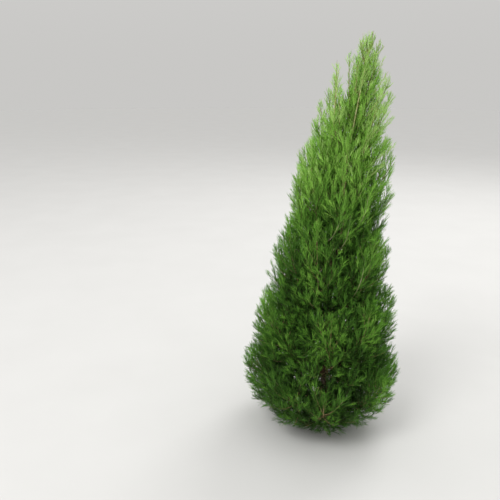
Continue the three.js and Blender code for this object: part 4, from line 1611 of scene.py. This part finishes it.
# %% [markdown]
# ## Floor and light
#
# The tree stood under an even white sky. The world gives most of that light: dim at the horizon and
# brighter overhead, as an overcast sky is. At the horizon it is as bright as the far floor, so the two
# run into one another. Two large soft lights shape the crown a little, one from the left in front and one
# from behind.

# %% The floor
FLOOR_RADIUS, FLOOR_CORNERS = 30.0, 96
FLOOR_DARKER, FLOOR_LIGHTER = (0.57, 0.565, 0.55, 1), (0.61, 0.605, 0.59, 1)
CLOUD_SCALE, GRIT_SCALE = 2.2, 320.0
GRIT_SPAN, FLOOR_ROUGHNESS = (0.3, 0.7), (0.8, 0.95)
GRIT_BUMP, GRIT_HEIGHT, FLOOR_GLOSS = 0.15, 0.0008, 0.1


def make_floor_finish():
    """A pale ground, a little cloudy in colour, with fine grit"""
    material, tree, surface = new_material("pale_floor")
    place = add_node(tree, "ShaderNodeTexCoord").outputs["Object"]
    cloudy = noise_at(tree, place, CLOUD_SCALE, detail=4.0)
    grit = noise_at(tree, place, GRIT_SCALE, detail=2.0)
    bump = value_of(tree, "ShaderNodeBump",
                    {"Height": grit, "Strength": GRIT_BUMP, "Distance": GRIT_HEIGHT})
    set_sockets(tree, surface, {"Base Color": mix_colours(tree, cloudy, FLOOR_DARKER, FLOOR_LIGHTER),
                                "Roughness": remap(tree, grit, GRIT_SPAN, FLOOR_ROUGHNESS),
                                "Normal": bump, "Specular IOR Level": FLOOR_GLOSS})
    return material


floor_mesh = bpy.data.meshes.new("floor")
rim = [(FLOOR_RADIUS * math.cos(turn), FLOOR_RADIUS * math.sin(turn), 0)
       for turn in np.linspace(0, 2 * math.pi, FLOOR_CORNERS, endpoint=False)]
floor_mesh.from_pydata(rim, [], [tuple(range(FLOOR_CORNERS))])
floor_mesh.materials.append(make_floor_finish())
floor = add_object("floor", floor_mesh)

# %% The sky and two soft lights
SKY_HORIZON, SKY_OVERHEAD = (0.582, 0.576, 0.562, 1), (1.14, 1.14, 1.14, 1)
LIGHT_SIZE = 4.0
LIGHTS = (
    dict(name="front_left", place=(-4.0, -4.5, 7.5), aim=(0, 0, 0.9), power=370),
    dict(name="behind_right", place=(3.2, 4.6, 6.4), aim=(0, 0, 1.0), power=230),
)


def make_sky():
    """A sky that eases from the horizon's tone to that overhead"""
    world = bpy.data.worlds.new("overcast")
    world.use_nodes = True
    tree = world.node_tree
    way = add_node(tree, "ShaderNodeTexCoord").outputs["Generated"]
    upward = add_node(tree, "ShaderNodeSeparateXYZ", {"Vector": way}).outputs["Z"]
    colour = mix_colours(tree, remap(tree, upward, (0.0, 1.0)), SKY_HORIZON, SKY_OVERHEAD)
    set_sockets(tree, tree.nodes["Background"], {"Color": colour})
    bpy.context.scene.world = world


def add_soft_light(name, place, aim, power):
    data = bpy.data.lights.new(name, "AREA")
    data.shape = "DISK"
    data.size = LIGHT_SIZE
    data.energy = power
    light = add_object(name, data)
    light.location = place
    light.rotation_euler = (Vector(aim) - Vector(place)).to_track_quat("-Z", "Y").to_euler()


make_sky()
for light in LIGHTS:
    add_soft_light(**light)
bpy.context.scene.view_settings.view_transform = "Standard"
print("lights:", [light["name"] for light in LIGHTS])

# %% [markdown]
# ## Tying the pieces to the frame
#
# Each piece rides on the tree's one body, and the solids that it stands for are hidden. The trunk and the
# boughs each stand for their own. All the finer wood and all the needles stand together for the masses of
# foliage. The finished tree may reach only a little further than its solids.

# %% Tying the pieces to the frame
masses = [name for name in frame["nodes"] if name.startswith("foliage_")]
bough_nodes = [name for name in frame["nodes"] if name.startswith("bough_")]
for piece, slot_name, nodes in [(trunk, "bark", ["trunk"]), (boughs, "young_bark", bough_nodes),
                                *[(piece, "young_bark", masses) for piece in wood],
                                *[(piece, "needles", masses) for piece in greens]]:
    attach(piece, "root")
    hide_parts(*nodes)
